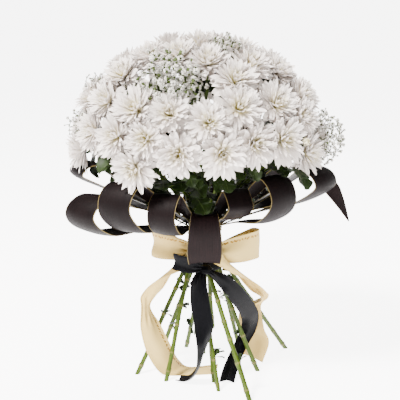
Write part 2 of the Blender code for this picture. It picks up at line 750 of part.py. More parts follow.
BLACK_PIECES = (
    # small loop at the left
    ((-0.008, -0.041, 0.153, 0, 0, 1, 0.45), (-0.022, -0.051, 0.158, 0.2, 0, 1, 0.8),
     (-0.038, -0.057, 0.163, 0.2, 0, 1, 0.85), (-0.045, -0.055, 0.165, 0.1, 0, 1, 0.85),
     (-0.038, -0.051, 0.162, 0.1, 0, 1, 0.7), (-0.010, -0.040, 0.151, 0, 0, 1, 0.35)),
    # tail that ends on the floor
    ((-0.008, -0.040, 0.150, 1, 0, 0, 0.40), (-0.013, -0.050, 0.138, 1, 0, 0.1, 0.75),
     (-0.011, -0.060, 0.110, 1, 0.1, 0.1, 1), (-0.006, -0.070, 0.080, 1, 0.3, 0.1, 1),
     (-0.008, -0.078, 0.052, 0.6, 1, 0, 0.9), (-0.014, -0.068, 0.024, 0.2, 1, 0.1, 0.8),
     (-0.026, -0.056, 0.0040, 0.3, 1, 0.1, 0.8), (-0.040, -0.050, 0.0016, 0.4, 1, 0, 0.8)),
    # tail at the right, with a slanted end
    ((-0.004, -0.040, 0.150, 1, 0, 0, 0.40), (0.014, -0.047, 0.142, 1, 0, 0.2, 0.8),
     (0.037, -0.040, 0.116, 1, 0.2, 0.3, 1), (0.055, -0.020, 0.084, 1, 0.3, 0.2, 1),
     (0.055, -0.003, 0.056, 1, 0, 0, 0.85), (0.041, -0.010, 0.031, 1, -0.2, 0, 0.75),
     (0.030, -0.036, 0.014, 1, -0.2, 0, 0.8), (0.024, -0.060, 0.003, 1, -0.2, 0, 0.8)),
)


def hull_rows(mains, levels, clearance, columns=16):
    """A band stretched round the stems: the outline of their hull at each level."""
    rows = []
    for level in levels:
        places = []
        for line in mains:
            where = [np.interp(level, line.points[:, 2], line.points[:, c]) for c in (0, 1)]
            size = np.interp(level, line.points[:, 2], line.radii)
            places.append((*where, size))
        places = np.array(places)
        row = []
        for k in range(columns):
            out = around(360 * k / columns)[:2]
            far = places[np.argmax(places[:, :2] @ out + places[:, 2])]
            row.append((*(far[:2] + out * (1.12 * far[2] + clearance)), level))
        rows.append(row)
    return rows


def knot(centre, size):
    """A small knot that leans back with the stems it lies on."""
    work = bmesh.new()
    bmesh.ops.create_uvsphere(work, u_segments=8, v_segments=5, radius=1)
    bmesh.ops.scale(work, vec=size, verts=work.verts)
    for vert in work.verts:
        vert.co.y += KNOT_LEAN * vert.co.z
    bmesh.ops.translate(work, vec=centre, verts=work.verts)
    bmesh.ops.triangulate(work, faces=work.faces)
    return outward_facing(mesh_from(work, "knot"))


def ribbon(mains, levels, pieces, width, knot_centre, knot_size):
    """A ribbon tied round the stems: its band, its knot, its loops and its tails."""
    meshes = [strip(hull_rows(mains, levels, 1.5 * MM), RIBBON_THICKNESS, closed=True),
              knot(knot_centre, knot_size)]
    for rows in pieces:
        sized = [(*row[:6], row[6] * width) for row in rows]
        meshes.append(strip(directed_rows(sized), RIBBON_THICKNESS))
    return fuse(meshes)


TWINE_RING = 18.8 * MM
TWINE_RADIUS = 1.4 * MM


def binding_twine():
    """A turned ring of twine round the stems and the ends of the dark leaves."""
    work = bmesh.new()
    ring = [work.verts.new((TWINE_RING + TWINE_RADIUS * math.cos(a), 0, TWINE_RADIUS * math.sin(a)))
            for a in (2 * math.pi * (k + 0.5) / 4 for k in range(4))]
    edges = [work.edges.new((ring[k], ring[(k + 1) % 4])) for k in range(4)]
    bmesh.ops.spin(work, geom=ring + edges, cent=(0, 0, 0), axis=(0, 0, 1),
                   angle=2 * math.pi, steps=20)
    bmesh.ops.remove_doubles(work, verts=work.verts, dist=1e-6)
    bmesh.ops.triangulate(work, faces=work.faces)
    bmesh.ops.translate(work, vec=NECK_CENTRE, verts=work.verts)
    return outward_facing(mesh_from(work, "twine"))


# Gypsophila: angle at the tie, middle of the spray, its reach each way, number of
# florets and the least distance between them in mm.
GYPSOPHILA = (
    (33, (0.160, -0.030, 0.345), (0.030, 0.050, 0.070), 18, 12),
    (22, (-0.052, -0.092, 0.412), (0.032, 0.030, 0.030), 11, 10),
    (71, (0.020, -0.052, 0.452), (0.026, 0.030, 0.016), 7, 10),
    (155, (-0.150, -0.012, 0.394), (0.026, 0.030, 0.028), 8, 10),
    (166, (-0.176, -0.045, 0.352), (0.020, 0.028, 0.030), 7, 10),
    (115, (-0.020, 0.145, 0.400), (0.045, 0.024, 0.035), 9, 10),
)
TWIG_RADIUS = 0.9 * MM
TWIG_RING = LEAF_RING
FLORET_RADIUS = 2.8 * MM


def gypsophila_line(number, owner):
    angle, middle, reach, _, _ = GYPSOPHILA[number]
    start = NECK_CENTRE + around(angle) * TWIG_RING
    middle = np.array(middle)
    end = middle - unit(middle - NECK_CENTRE) * 0.5 * max(reach)
    way = unit(end - NECK_CENTRE)
    above = start + np.array((0, 0, 3 * MM))
    path = bezier(above, above + np.array((0, 0, 0.05)) + around(angle) * 0.010,
                  end - way * 0.05, end, 6)
    path = np.vstack((start - np.array((0, 0, 5 * MM)), path))
    return Line(path, TWIG_RADIUS, owner, (0, 1, len(path) - 1))


def floret(root, tip, radius):
    """A thin twig that opens into a small floret at its tip, with three sides."""
    way = Vector(tip) - Vector(root)
    length = way.length
    profile = ((0.30 * MM, 0.0), (0.42 * MM, length - 1.2 * radius), (radius, length),
               (0.25 * radius, length + 0.9 * radius))
    work = bmesh.new()
    rings = [[work.verts.new((r * math.cos(a), r * math.sin(a), z))
              for a in (0, 2 * math.pi / 3, 4 * math.pi / 3)] for r, z in profile]
    for lower, upper in zip(rings, rings[1:]):
        for k in range(3):
            n = (k + 1) % 3
            work.faces.new((lower[k], lower[n], upper[n], upper[k]))
    work.faces.new(rings[0][::-1])
    work.faces.new(rings[-1])
    turn = way.to_track_quat("Z", "Y").to_matrix().to_4x4()
    turn.translation = Vector(root)
    bmesh.ops.transform(work, matrix=turn, verts=work.verts)
    bmesh.ops.triangulate(work, faces=work.faces)
    return outward_facing(mesh_from(work, "floret"))


def gypsophila_spray(line, number, surroundings):
    """A bare stem up through the blooms that branches into small florets."""
    _, middle, reach, count, spacing = GYPSOPHILA[number]
    rng = np.random.default_rng(40 + number)
    meshes = [tube(line, 4)]
    end = line.points[-1]
    grown = [end, (end + line.points[-2]) / 2]
    spots = np.array(middle) + rng.normal(0, 0.6, (count * 12, 3)) * np.array(reach)
    flowers = []
    for spot in spots[np.argsort(np.linalg.norm(spots - end, axis=1))]:
        if len(flowers) == count:
            break
        if flowers and min(np.linalg.norm(spot - f) for f in flowers) < spacing * MM:
            continue
        if not surroundings.clear_of(spot, FLORET_RADIUS + 2 * GAP):
            continue
        for node in sorted(grown, key=lambda g: np.linalg.norm(g - spot))[:4]:
            length = np.linalg.norm(node - spot)
            if 6 * MM < length < 60 * MM and surroundings.line_clear(node, spot, 0.9 * MM):
                meshes.append(floret(node, spot, FLORET_RADIUS))
                flowers.append(spot)
                grown.append(node + (spot - node) * 0.55)
                break
    print("  gypsophila", number + 1, "florets", len(flowers), "of", count)
    return fuse(meshes)


# Green leaves with lobed edges, on the stems under the blooms

LEAF_OUTLINE = ((0.00, 0.05), (0.22, 0.08), (0.34, 0.30), (0.48, 0.20), (0.62, 0.40),
                (0.78, 0.22), (1.00, 0.0))
GREEN_LEAF_THICKNESS = 0.8 * MM
GREEN_LEAF_LENGTH = 48 * MM
LEAVES_A_SPRAY = 1


def green_leaf(root, along, upward, length, extra=0.0):
    """A chrysanthemum leaf from its root, arched along its length, as a solid plate."""
    along = unit(along)
    side = unit(np.cross(upward, along))
    rise = np.cross(along, side)
    work = bmesh.new()
    rib, left, right = [], [], []
    for x, y in LEAF_OUTLINE:
        spine = root + along * x * length + rise * (0.35 * x - 0.55 * x * x) * length
        rib.append(work.verts.new(spine))
        if y:
            droop = -rise * 0.25 * y * length
            left.append(work.verts.new(spine + side * y * length + droop))
            right.append(work.verts.new(spine - side * y * length + droop))
    left.append(rib[-1])
    right.append(rib[-1])
    for edge in (left, right):
        for k in range(len(rib) - 1):
            corner = list(dict.fromkeys((rib[k], rib[k + 1], edge[k + 1], edge[k])))
            for n in range(1, len(corner) - 1):
                work.faces.new((corner[0], corner[n], corner[n + 1]))
    bmesh.ops.recalc_face_normals(work, faces=work.faces)
    return thickened(work, GREEN_LEAF_THICKNESS + extra)


def leaves_of(number, main, stalks, surroundings, own):
    """Leaves for one spray, each tried at several turns until it is clear of the rest."""
    rng = np.random.default_rng(100 + number)
    seats = [((line.points[2] + line.points[3]) / 2, line.points[3] - line.points[2])
             for _, line in stalks]
    seats += [((main.points[-k] + main.points[-k - 1]) / 2,
               main.points[-k] - main.points[-k - 1]) for k in (1, 2)]
    made = []
    for seat, stem in [seats[k] for k in rng.permutation(len(seats))]:
        if len(made) == LEAVES_A_SPRAY:
            break
        outward = unit((seat - DOME_CENTRE) * (1, 1, 0) + 1e-6)
        for attempt in range(40):
            tilt = np.array((0, 0, rng.uniform(-0.5, 0.4)))
            way = unit(0.9 * outward + 0.8 * around(rng.uniform(0, 360)) + tilt)
            length = GREEN_LEAF_LENGTH * (1 if attempt < 20 else 0.75)
            tester = green_leaf(seat, way, stem, length * 1.03, 1.2 * MM)
            if not surroundings.touches(tester, own):
                made.append(green_leaf(seat, way, stem, length))
                break
    return made


# Putting it together

def stem_meshes(number, main, stalks):
    """A spray's main stem, cut at its foot, and the stalks that grow from it."""
    heights = [stem[2] for stem in OUTER_STEMS + INNER_STEMS]
    down = unit(main.points[0] - main.points[1])
    longer = Line(np.vstack((main.points[0] + down * 8 * MM, main.points)),
                  np.append(main.radii[0], main.radii), number, ())
    slant = (0, 0, -1) if heights[number] == 0 else tuple(unit(down + np.array((0.7, 0, 0))))
    meshes = [cut_flat(tube(longer, 6), tuple(main.points[0]), slant)]
    return meshes, [(bloom, tube(line, 6 if bloom is None else 4)) for bloom, line in stalks]


def finish(name, mesh, material, collection):
    outward_facing(mesh)
    mesh.name = name
    for vert in mesh.vertices:
        vert.co += Vector(CENTRING)
    mesh.materials.clear()
    mesh.materials.append(material)
    new_object(name, mesh, collection)


def main():
    for obj in list(bpy.data.objects):
        bpy.data.objects.remove(obj)
    bunch = bpy.data.collections.new("bunch_of_chrysanthemums")
    bpy.context.scene.collection.children.link(bunch)

    faces, outward = settle_blooms()
    owners = share_out()
    sprays = range(len(OUTER_STEMS) + len(INNER_STEMS))
    lines, mains, stalks = [], [], []
    for number in sprays:
        stem, grown = spray_lines(number, faces, outward, owners, len(lines))
        mains.append(stem)
        stalks.append(grown)
        lines += [stem] + [line for _, line in grown]
    twigs = [gypsophila_line(k, 20 + k) for k in range(len(GYPSOPHILA))]
    collar = dark_leaves()
    guides = [line for k, rows in enumerate(collar) for line in leaf_guides(rows, 40 + k)]
    gap = bend_clear(lines + twigs + guides)
    print("  stems: least gap past the clearance", round(gap / MM, 2), "mm")

    surroundings = Surroundings()
    obstacles, stems = [], {}
    for number in sprays:
        trunk, branches = stem_meshes(number, mains[number], stalks[number])
        stems[number] = trunk + [mesh for _, mesh in branches]
        obstacles += [(None, mesh) for mesh in trunk] + branches
        for k, mesh in enumerate(stems[number]):
            surroundings.add(f"stem {number} {k}", mesh)
    solids = {f"dark_leaf_{k + 1:02d}": strip(rows, LEAF_THICKNESS)
              for k, rows in enumerate(collar)}
    solids["cream_ribbon"] = ribbon(mains, CREAM_LEVELS, CREAM_PIECES, CREAM_WIDTH,
                                    CREAM_KNOT, (8.5 * MM, 5 * MM, 7.5 * MM))
    solids["black_ribbon"] = ribbon(mains, BLACK_LEVELS, BLACK_PIECES, BLACK_WIDTH,
                                    BLACK_KNOT, (9 * MM, 5 * MM, 6 * MM))
    solids["binding_twine"] = binding_twine()
    for name, mesh in solids.items():
        surroundings.add(name, mesh)
        obstacles.append((None, mesh))
    obstacles += [(None, tube(line, 4)) for line in twigs]

    for number in sprays:
        bodies = spray_blooms(number, faces, outward, owners, obstacles)
        for body, suffix in zip(bodies, ("", "_second", "_third", "_fourth")):
            name = f"spray_{number + 1:02d}_blooms{suffix}"
            solids[name] = body
            surroundings.add(name, body)
    for number, line in enumerate(twigs):
        name = f"gypsophila_{number + 1}"
        solids[name] = gypsophila_spray(line, number, surroundings)
        surroundings.add(name, solids[name])
    for number in sprays:
        own = [f"stem {number} {k}" for k in range(len(stems[number]))]
        leaves = leaves_of(number, mains[number], stalks[number], surroundings, own)
        for k, leaf in enumerate(leaves):
            surroundings.add(f"leaf {number} {k}", leaf)
        print("  spray", number + 1, "leaves", len(leaves))
        solids[f"spray_{number + 1:02d}_stem"] = fuse(stems[number] + leaves)

    green = make_material("stem green", GREEN, 0.5)
    white = make_material("petal white", WHITE, 0.6)
    finishes = (
        ("blooms", white), ("gypsophila", white), ("stem", green),
        ("dark", make_material("dark leaf", DARK_LEAF, 0.4)),
        ("cream", make_material("cream satin", CREAM, 0.35)),
        ("black", make_material("black satin", BLACK, 0.3)),
        ("twine", make_material("twine", TWINE, 0.9)),
    )
    for name in sorted(solids):
        finish(name, solids[name], next(m for word, m in finishes if word in name), bunch)


main()
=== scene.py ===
"""Bunch of white spray chrysanthemums: petals, leaves, twigs, ribbons and their finishes."""

import math

import bpy
import numpy as np
from bpy.props import FloatProperty, FloatVectorProperty, IntProperty, PointerProperty
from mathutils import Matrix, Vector
from mathutils.bvhtree import BVHTree


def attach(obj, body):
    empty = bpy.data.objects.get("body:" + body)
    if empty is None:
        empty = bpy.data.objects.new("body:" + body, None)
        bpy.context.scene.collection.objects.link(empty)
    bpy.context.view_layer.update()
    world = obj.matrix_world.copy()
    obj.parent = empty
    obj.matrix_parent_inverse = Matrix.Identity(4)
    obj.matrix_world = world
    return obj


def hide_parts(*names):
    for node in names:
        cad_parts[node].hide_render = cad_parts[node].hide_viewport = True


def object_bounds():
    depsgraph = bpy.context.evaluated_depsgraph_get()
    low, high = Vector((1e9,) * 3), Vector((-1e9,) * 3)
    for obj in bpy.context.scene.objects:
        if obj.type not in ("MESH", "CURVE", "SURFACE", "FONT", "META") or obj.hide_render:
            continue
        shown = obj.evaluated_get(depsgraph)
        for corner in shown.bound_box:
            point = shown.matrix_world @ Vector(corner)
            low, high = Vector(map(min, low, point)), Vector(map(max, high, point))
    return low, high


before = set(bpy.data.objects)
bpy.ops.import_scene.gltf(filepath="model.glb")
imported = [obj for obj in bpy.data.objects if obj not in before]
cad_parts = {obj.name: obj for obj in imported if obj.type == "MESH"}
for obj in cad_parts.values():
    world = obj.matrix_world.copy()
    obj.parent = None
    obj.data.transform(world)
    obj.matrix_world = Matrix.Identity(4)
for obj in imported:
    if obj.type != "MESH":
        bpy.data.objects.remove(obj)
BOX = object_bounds()

bl_info = {
    "name": "Bunch of chrysanthemums",
    "version": (1, 0, 0),
    "blender": (4, 5, 0),
    "location": "3D View > Sidebar > Bunch",
    "description": "Builds a hand-tied bunch of white chrysanthemums on its frame",
    "category": "Object",
}

MM = 0.001

# Layout of the bunch, with the same numbers as its solids.
UP = np.array((0.0, 0.0, 1.0))
CENTRING = np.array((0.0, 0.0004, 0.0))
DOME_CENTRE = np.array((-0.013, 0.0, 0.314))
DOME_REACH = np.array((0.167, 0.150, 0.140))
BLOOM_SPACING = 44 * MM
SETTLE_ROUNDS, SETTLE_PUSH, SETTLE_PULL = 200, 0.3, 0.02
FACE_HEIGHT = 20 * MM
HEART_DEPTH = 12 * MM
FRONT_BLOOMS = (
    (211, 10, 33), (229, 9, 34), (240, -7, 34), (245, 8, 33), (261, 1, 34), (280, 3, 36),
    (296, 6, 34), (312, 7, 37), (332, -3, 33), (214, 28, 34), (238, 24, 37), (256, 23, 33),
    (275, 17, 33), (290, 26, 37), (313, 27, 35), (329, 18, 34), (345, 30, 33),
    (210, 46, 33), (293, 43, 34), (342, 48, 33), (314, 54, 34), (221, 62, 32),
    (247, 64, 33), (275, 59, 33), (334, 67, 33), (276, 81, 33),
)
BACK_BLOOMS = (
    (354, 2, 33), (15, -5, 34), (37, 4, 35), (59, -5, 34), (80, 4, 35), (102, -5, 34),
    (124, 4, 35), (145, -5, 34), (167, 4, 34), (189, -4, 33),
    (10, 27, 34), (36, 30, 35), (62, 27, 35), (88, 30, 35), (114, 27, 35), (139, 30, 34),
    (164, 27, 34), (189, 28, 33),
    (20, 51, 34), (58, 53, 34), (96, 51, 35), (134, 53, 34), (172, 51, 33),
    (60, 74, 33), (150, 74, 33),
)
BLOOMS = FRONT_BLOOMS + BACK_BLOOMS
TOP_SPRAYS_FROM = 44
NECK_CENTRE = np.array((-0.008, 0.0, 0.190))
OUTER_RING = 12.0 * MM
INNER_RING = 4.7 * MM
OUTER_FORK = (0.54, 0.022)  # share of the way to the blooms, and its lift
INNER_FORK = (0.68, 0.0)
OUTER_STEMS = (
    (0.113, 0.082, 0.0, 3.2), (0.047, 0.060, 0.0, 3.0), (-0.031, 0.087, 0.0, 3.2),
    (-0.069, 0.040, 0.0, 3.2), (-0.096, -0.025, 0.0, 3.2), (-0.056, -0.051, 0.0, 3.2),
    (0.013, -0.087, 0.0, 2.7), (0.052, -0.125, 0.0, 3.4), (0.067, -0.013, 0.0, 3.2),
)
INNER_STEMS = (
    (0.010, 0.030, 0.050, 2.9), (-0.006, 0.060, 0.0, 2.9),
    (-0.018, 0.050, 0.036, 2.9), (0.007, -0.055, 0.0, 2.6),
)
FIRST_NECK_ANGLE = 297
FIRST_HEAD_ANGLE = 211
STALK_RADIUS = 1.5 * MM
CALYX_RADIUS = 5.0 * MM
CALYX_HEIGHT = 6.0 * MM
STEM_CLEARANCE = 0.6 * MM
BUD = (322, 5)
BUD_SPRAY = 3
BUD_SINK = 4 * MM
BUD_HEIGHTS = (9 * MM, 16 * MM)
BUD_RADII = (6.2 * MM, 1.5 * MM)
TIE_HEIGHT = NECK_CENTRE[2]


def unit(v):
    return v / np.linalg.norm(v)


def units(v):
    return v / np.linalg.norm(v, axis=-1, keepdims=True)


def ring_way(side, other, turn):
    """A direction square to an axis, turned from one side of it towards the other."""
    return side * math.cos(turn) + other * math.sin(turn)


def in_box(points, margin):
    """Whether points of the layout are inside the frame's box, by a margin."""
    places = points + CENTRING
    return (places > np.add(BOX[0], margin)).all() and (places < np.subtract(BOX[1], margin)).all()


def around(degrees):
    a = math.radians(degrees)
    return np.array((math.cos(a), math.sin(a), 0.0))


def bezier(a, b, c, d, steps):
    t = np.linspace(0, 1, steps + 1)[:, None]
    return a * (1 - t) ** 3 + 3 * b * t * (1 - t) ** 2 + 3 * c * t * t * (1 - t) + d * t ** 3


SMOOTH_SPAN = 24 * MM
BEND_ROUNDS, BEND_PUSH, BEND_SMOOTH = 300, 0.4, 0.02
GUIDE_REACH = 0.115
GUIDE_RADIUS = 0.5 * MM
GUIDE_BREAK = 50 * MM


def smooth_rows(rows, steps=None):
    """A Catmull-Rom curve through rows of numbers, in steps or spans of about one length.

    A span is measured on a row's first numbers, those before its last two.
    """
    rows = np.array(rows, dtype=float)
    places = 3 if rows.shape[1] > 4 else 2
    ends = np.vstack((2 * rows[0] - rows[1], rows, 2 * rows[-1] - rows[-2]))
    out = []
    for p0, p1, p2, p3 in zip(ends, ends[1:], ends[2:], ends[3:]):
        count = steps or max(1, math.ceil(np.linalg.norm((p2 - p1)[:places]) / SMOOTH_SPAN))
        t = (np.arange(count) / count)[:, None]
        out.append(0.5 * (2 * p1 + (p2 - p0) * t + (2 * p0 - 5 * p1 + 4 * p2 - p3) * t * t
                          + (3 * p1 - p0 - 3 * p2 + p3) * t ** 3))
    return np.vstack((*out, rows[-1:]))


class Line:
    """The middle line of a stem, stalk or twig: points, radii, its owner and held points."""

    def __init__(self, points, radii, owner, held, root=None):
        self.points = np.array(points)
        self.radii = np.broadcast_to(radii, len(self.points)).astype(float)
        self.owner = owner
        self.held = np.zeros(len(self.points), bool)
        self.held[list(held)] = True
        self.root = root


def on_sphere(azimuth, elevation):
    a, e = math.radians(azimuth), math.radians(elevation)
    return np.array((math.cos(e) * math.cos(a), math.cos(e) * math.sin(a), math.sin(e)))


def settle_blooms():
    """Face centres and outward directions, pushed apart along the dome where crowded."""
    seeds = np.array([on_sphere(azimuth, elevation) for azimuth, elevation, _ in BLOOMS])
    places = seeds.copy()
    for _ in range(SETTLE_ROUNDS):
        world = places * DOME_REACH
        apart = world[:, None] - world[None]
        far = np.linalg.norm(apart, axis=2) + np.eye(len(world))
        push = np.clip(BLOOM_SPACING - far, 0, None) * (1 - np.eye(len(world)))
        move = (apart / far[..., None] * push[..., None]).sum(1) / DOME_REACH
        places = places + SETTLE_PUSH * move + SETTLE_PULL * (seeds - places)
        places /= np.linalg.norm(places, axis=1)[:, None]
    return DOME_CENTRE + places * DOME_REACH, units(places / DOME_REACH)


def share_out():
    """The spray that each bloom grows on: nine round the side, then four on top."""
    owners = []
    for azimuth, elevation, _ in BLOOMS:
        if elevation >= TOP_SPRAYS_FROM:
            owners.append(9 + round(azimuth / 90) % 4)
        else:
            owners.append(round((azimuth - FIRST_HEAD_ANGLE) / 40) % 9)
    return owners


def segment_gaps(p0, p1, q0, q1):
    """Nearest points of segment pairs, as shares along each, and the way between them."""
    u, v, w = p1 - p0, q1 - q0, p0 - q0
    a, b, c = (u * u).sum(1), (u * v).sum(1), (v * v).sum(1)
    d, e = (u * w).sum(1), (v * w).sum(1)
    s = np.clip((b * e - c * d) / np.maximum(a * c - b * b, 1e-12), 0, 1)
    t = np.clip((b * s + e) / c, 0, 1)
    s = np.clip((b * t - d) / a, 0, 1)
    return s, t, w + u * s[:, None] - v * t[:, None]


def bend_clear(lines):
    """Bends lines of different owners apart. Held points stay, roots follow their parent."""
    start = np.cumsum([0] + [len(line.points) for line in lines])
    points = np.vstack([line.points for line in lines])
    held = np.concatenate([line.held for line in lines])
    first = np.concatenate([np.arange(s, s + len(line.points) - 1)
                            for s, line in zip(start, lines)])
    owner = np.concatenate([[line.owner] * (len(line.points) - 1) for line in lines])
    radius = np.concatenate([(line.radii[:-1] + line.radii[1:]) / 2 for line in lines])
    still = held[first] & held[first + 1]
    i, j = np.triu_indices(len(first), 1)
    keep = (owner[i] != owner[j]) & ~(still[i] & still[j])
    i, j = i[keep], j[keep]
    need = radius[i] + radius[j] + STEM_CLEARANCE
    ends = np.zeros(len(points), bool)
    ends[start[:-1]] = True
    ends[start[1:] - 1] = True
    inner = np.where(~ends & ~held)[0]
    for _ in range(BEND_ROUNDS):
        a, b = first[i], first[j]
        s, t, way = segment_gaps(points[a], points[a + 1], points[b], points[b + 1])
        gap = np.linalg.norm(way, axis=1)
        near = gap < need
        push = way[near] / np.maximum(gap[near], 1e-6)[:, None] * (need - gap)[near][:, None]
        move = np.zeros_like(points)
        for index, share, sign in ((a, 1 - s, 1), (a + 1, s, 1), (b, 1 - t, -1), (b + 1, t, -1)):
            np.add.at(move, index[near], BEND_PUSH * sign * push * share[near][:, None])
        middle = (points[inner - 1] + points[inner + 1]) / 2
        move[inner] += BEND_SMOOTH * (middle - points[inner])
        points[~held] += move[~held]
        for s, line in zip(start, lines):
            if line.root:
                parent, place = line.root
                points[s] = points[start[parent] + place]
    for s, line in zip(start, lines):
        line.points = points[s:s + len(line.points)]


def spray_lines(number, faces, outward, owners, first_line):
    """The main stem of a spray, then a stalk to each of its blooms."""
    if number < len(OUTER_STEMS):
        x, y, height, thick = OUTER_STEMS[number]
        neck = NECK_CENTRE + OUTER_RING * around(FIRST_NECK_ANGLE + 40 * number)
        share, lift = OUTER_FORK
    else:
        x, y, height, thick = INNER_STEMS[number - len(OUTER_STEMS)]
        neck = NECK_CENTRE + INNER_RING * around(90 * (number - len(OUTER_STEMS)))
        share, lift = INNER_FORK
    foot = np.array((x, y, 0.0))
    foot = foot + (neck - foot) * height / neck[2]
    own = [b for b, owner in enumerate(owners) if owner == number]
    aim = np.mean([faces[b] for b in own], axis=0)
    fork = neck + (aim - neck) * share + UP * lift
    up = unit(neck - foot)
    below = foot + (neck - foot) * np.array((0, 0.5, 0.88, 1))[:, None]
    above = bezier(neck, neck + up * 0.03, fork - unit(aim - neck) * 0.02, fork, 4)
    points = np.vstack((below, above[1:]))
    stem = Line(points, np.linspace(thick, 0.75 * thick, len(points)) * MM, number, (0, 3))
    stalks = []
    order = sorted(own, key=lambda b: -np.linalg.norm(faces[b] - fork))
    ends = [(b, faces[b] - outward[b] * FACE_HEIGHT, outward[b]) for b in order]
    if number == BUD_SPRAY:
        place = on_sphere(*BUD)
        way = unit(place / DOME_REACH)
        ends.append((None, DOME_CENTRE + place * DOME_REACH - way * BUD_SINK, way))
    for rank, (bloom, end, way) in enumerate(ends):
        place = len(points) - 1 - min(rank, 2)
        root = points[place]
        length = np.linalg.norm(end - root)
        flare = end - way * CALYX_HEIGHT
        path = bezier(root, root + up * 0.25 * length, flare - way * 0.35 * length, flare, 3)
        sizes = np.array((1.0, 1.0, 0.95, 1.0, CALYX_RADIUS / STALK_RADIUS)) * STALK_RADIUS
        rows = [*path, end]
        if bloom is None:
            rows += [end + way * height for height in BUD_HEIGHTS]
            sizes = np.append(sizes, BUD_RADII)
        held = (0, *range(3, len(rows)))
        stalks.append((bloom, Line(rows, sizes, number, held, (first_line, place))))
    return stem, stalks


# Collar of dark leaves: azimuth, reach, heights of the lower and the upper run, width
# in mm, degrees that the loop is turned to face the front.
LOOPED_LEAVES = (
    (185, 0.168, 0.258, 0.288, 48, 22), (207, 0.176, 0.204, 0.254, 50, 24),
    (226, 0.158, 0.214, 0.276, 46, 16), (247, 0.132, 0.211, 0.262, 36, 2),
    (297, 0.106, 0.227, 0.264, 35, 0), (320, 0.134, 0.222, 0.280, 43, -10),
    (342, 0.168, 0.243, 0.286, 48, -22), (48, 0.152, 0.212, 0.268, 46, 0),
    (92, 0.142, 0.204, 0.262, 46, 0), (138, 0.156, 0.214, 0.272, 46, 0),
)
LEAF_BASE_WIDTH = 4.8 * MM
DARK_LEAF_THICKNESS = 0.9 * MM
LEAF_RING = 16.2 * MM
LEAF_START = ((LEAF_RING + 0.7 * MM, 0.184), (LEAF_RING + 0.1 * MM, 0.192),
              (LEAF_RING + 4.3 * MM, 0.200))
FRONT_LEAF_ANGLE = 272
FRONT_LEAF = (
    (0.034, 0.2100, 12 * MM), (0.056, 0.229, 27 * MM), (0.075, 0.228, 35 * MM),
    (0.081, 0.206, 42 * MM), (0.076, 0.184, 45 * MM), (0.071, 0.172, 43 * MM),
    (0.067, 0.166, 40 * MM), (0.063, 0.171, 36 * MM),
)
POINTED_LEAF_ANGLE = 5
POINTED_LEAF = (
    (0.026, 0.003, 0.208, 0, 1, 0, 11), (0.070, 0.003, 0.234, 0, 1, 0, 22),
    (0.110, 0.000, 0.262, -0.1, 1, 0, 25), (0.134, -0.006, 0.276, 0.4, 0.9, 0.3, 24),
    (0.149, -0.010, 0.268, 0.8, 0.4, 0.5, 22), (0.163, -0.012, 0.252, 0.85, 0.1, 0.5, 20),
    (0.176, -0.013, 0.230, 0.85, 0.1, 0.45, 11), (0.186, -0.014, 0.209, 0.85, 0.1, 0.4, 1.4),
)


def from_tie(azimuth, reach, height):
    """The place at a height and at a distance from the tie's middle."""
    return NECK_CENTRE * (1, 1, 0) + around(azimuth) * reach + UP * height


def upright_rows(azimuth, rows):
    """Rows of x, y, z, width direction and width for a strip along an upright plane.

    A row is the distance from the tie's middle, the height, the width and the degrees
    that the width is turned from square to that plane.
    """
    return [(*from_tie(azimuth, r, z), *around(azimuth + 90 + turn), w)
            for r, z, w, turn in smooth_rows(rows)]


def looped_rows(azimuth, reach, low, high, width, turn):
    """A leaf rolled back on itself, with its stalk and its tip at the tie."""
    wide, base = width * MM, LEAF_BASE_WIDTH
    rows = [(*place, base * wider, 0) for place, wider in zip(LEAF_START, (1, 1, 1.2))]
    rows += [
        (0.47 * reach, 0.50 * low + 0.50 * 0.206, 0.60 * wide, 0.4 * turn),
        (0.84 * reach, low, wide, turn), (reach, (low + high) / 2, wide, turn),
        (0.86 * reach, high, wide, turn),
        (0.54 * reach, 0.45 * high + 0.55 * 0.218, 0.64 * wide, 0.4 * turn),
        (0.034, 0.2145, 1.9 * base, 0), (0.0275, 0.2075, 1.1 * base, 0),
    ]
    return upright_rows(azimuth, rows)


def collar_rows():
    """The rows of every dark leaf, in the solids' order."""
    leaves = [looped_rows(*row) for row in LOOPED_LEAVES]
    start = [(*place, LEAF_BASE_WIDTH) for place in LEAF_START]
    leaves.append(upright_rows(FRONT_LEAF_ANGLE, [(*row, 0) for row in (*start, *FRONT_LEAF)]))
    side = around(POINTED_LEAF_ANGLE + 90)
    rows = [(*from_tie(POINTED_LEAF_ANGLE, *place), *side, LEAF_BASE_WIDTH)
            for place in LEAF_START]
    rows += [(*row[:6], row[6] * MM) for row in POINTED_LEAF]
    leaves.append(smooth_rows(rows))
    return leaves


def leaf_guides(rows, owner):
    """Held lines along a dark leaf near the tie, which the stems are bent clear of."""
    rows = np.array(rows)
    half = units(rows[:, 3:6]) * rows[:, 6:] / 2
    edges = np.stack((rows[:, :3] - half, rows[:, :3] + half), axis=1)
    kept = edges[np.linalg.norm(rows[:, :2] - NECK_CENTRE[:2], axis=1) < GUIDE_REACH]
    guides = []
    for share in (0.0, 0.5, 1.0):
        points = kept[:, 0] * (1 - share) + kept[:, 1] * share
        jump = np.where(np.linalg.norm(np.diff(points, axis=0), axis=1) > GUIDE_BREAK)[0]
        for piece in np.split(points, jump + 1):
            if len(piece) > 1:
                guides.append(Line(piece, GUIDE_RADIUS, owner, range(len(piece))))
    return guides


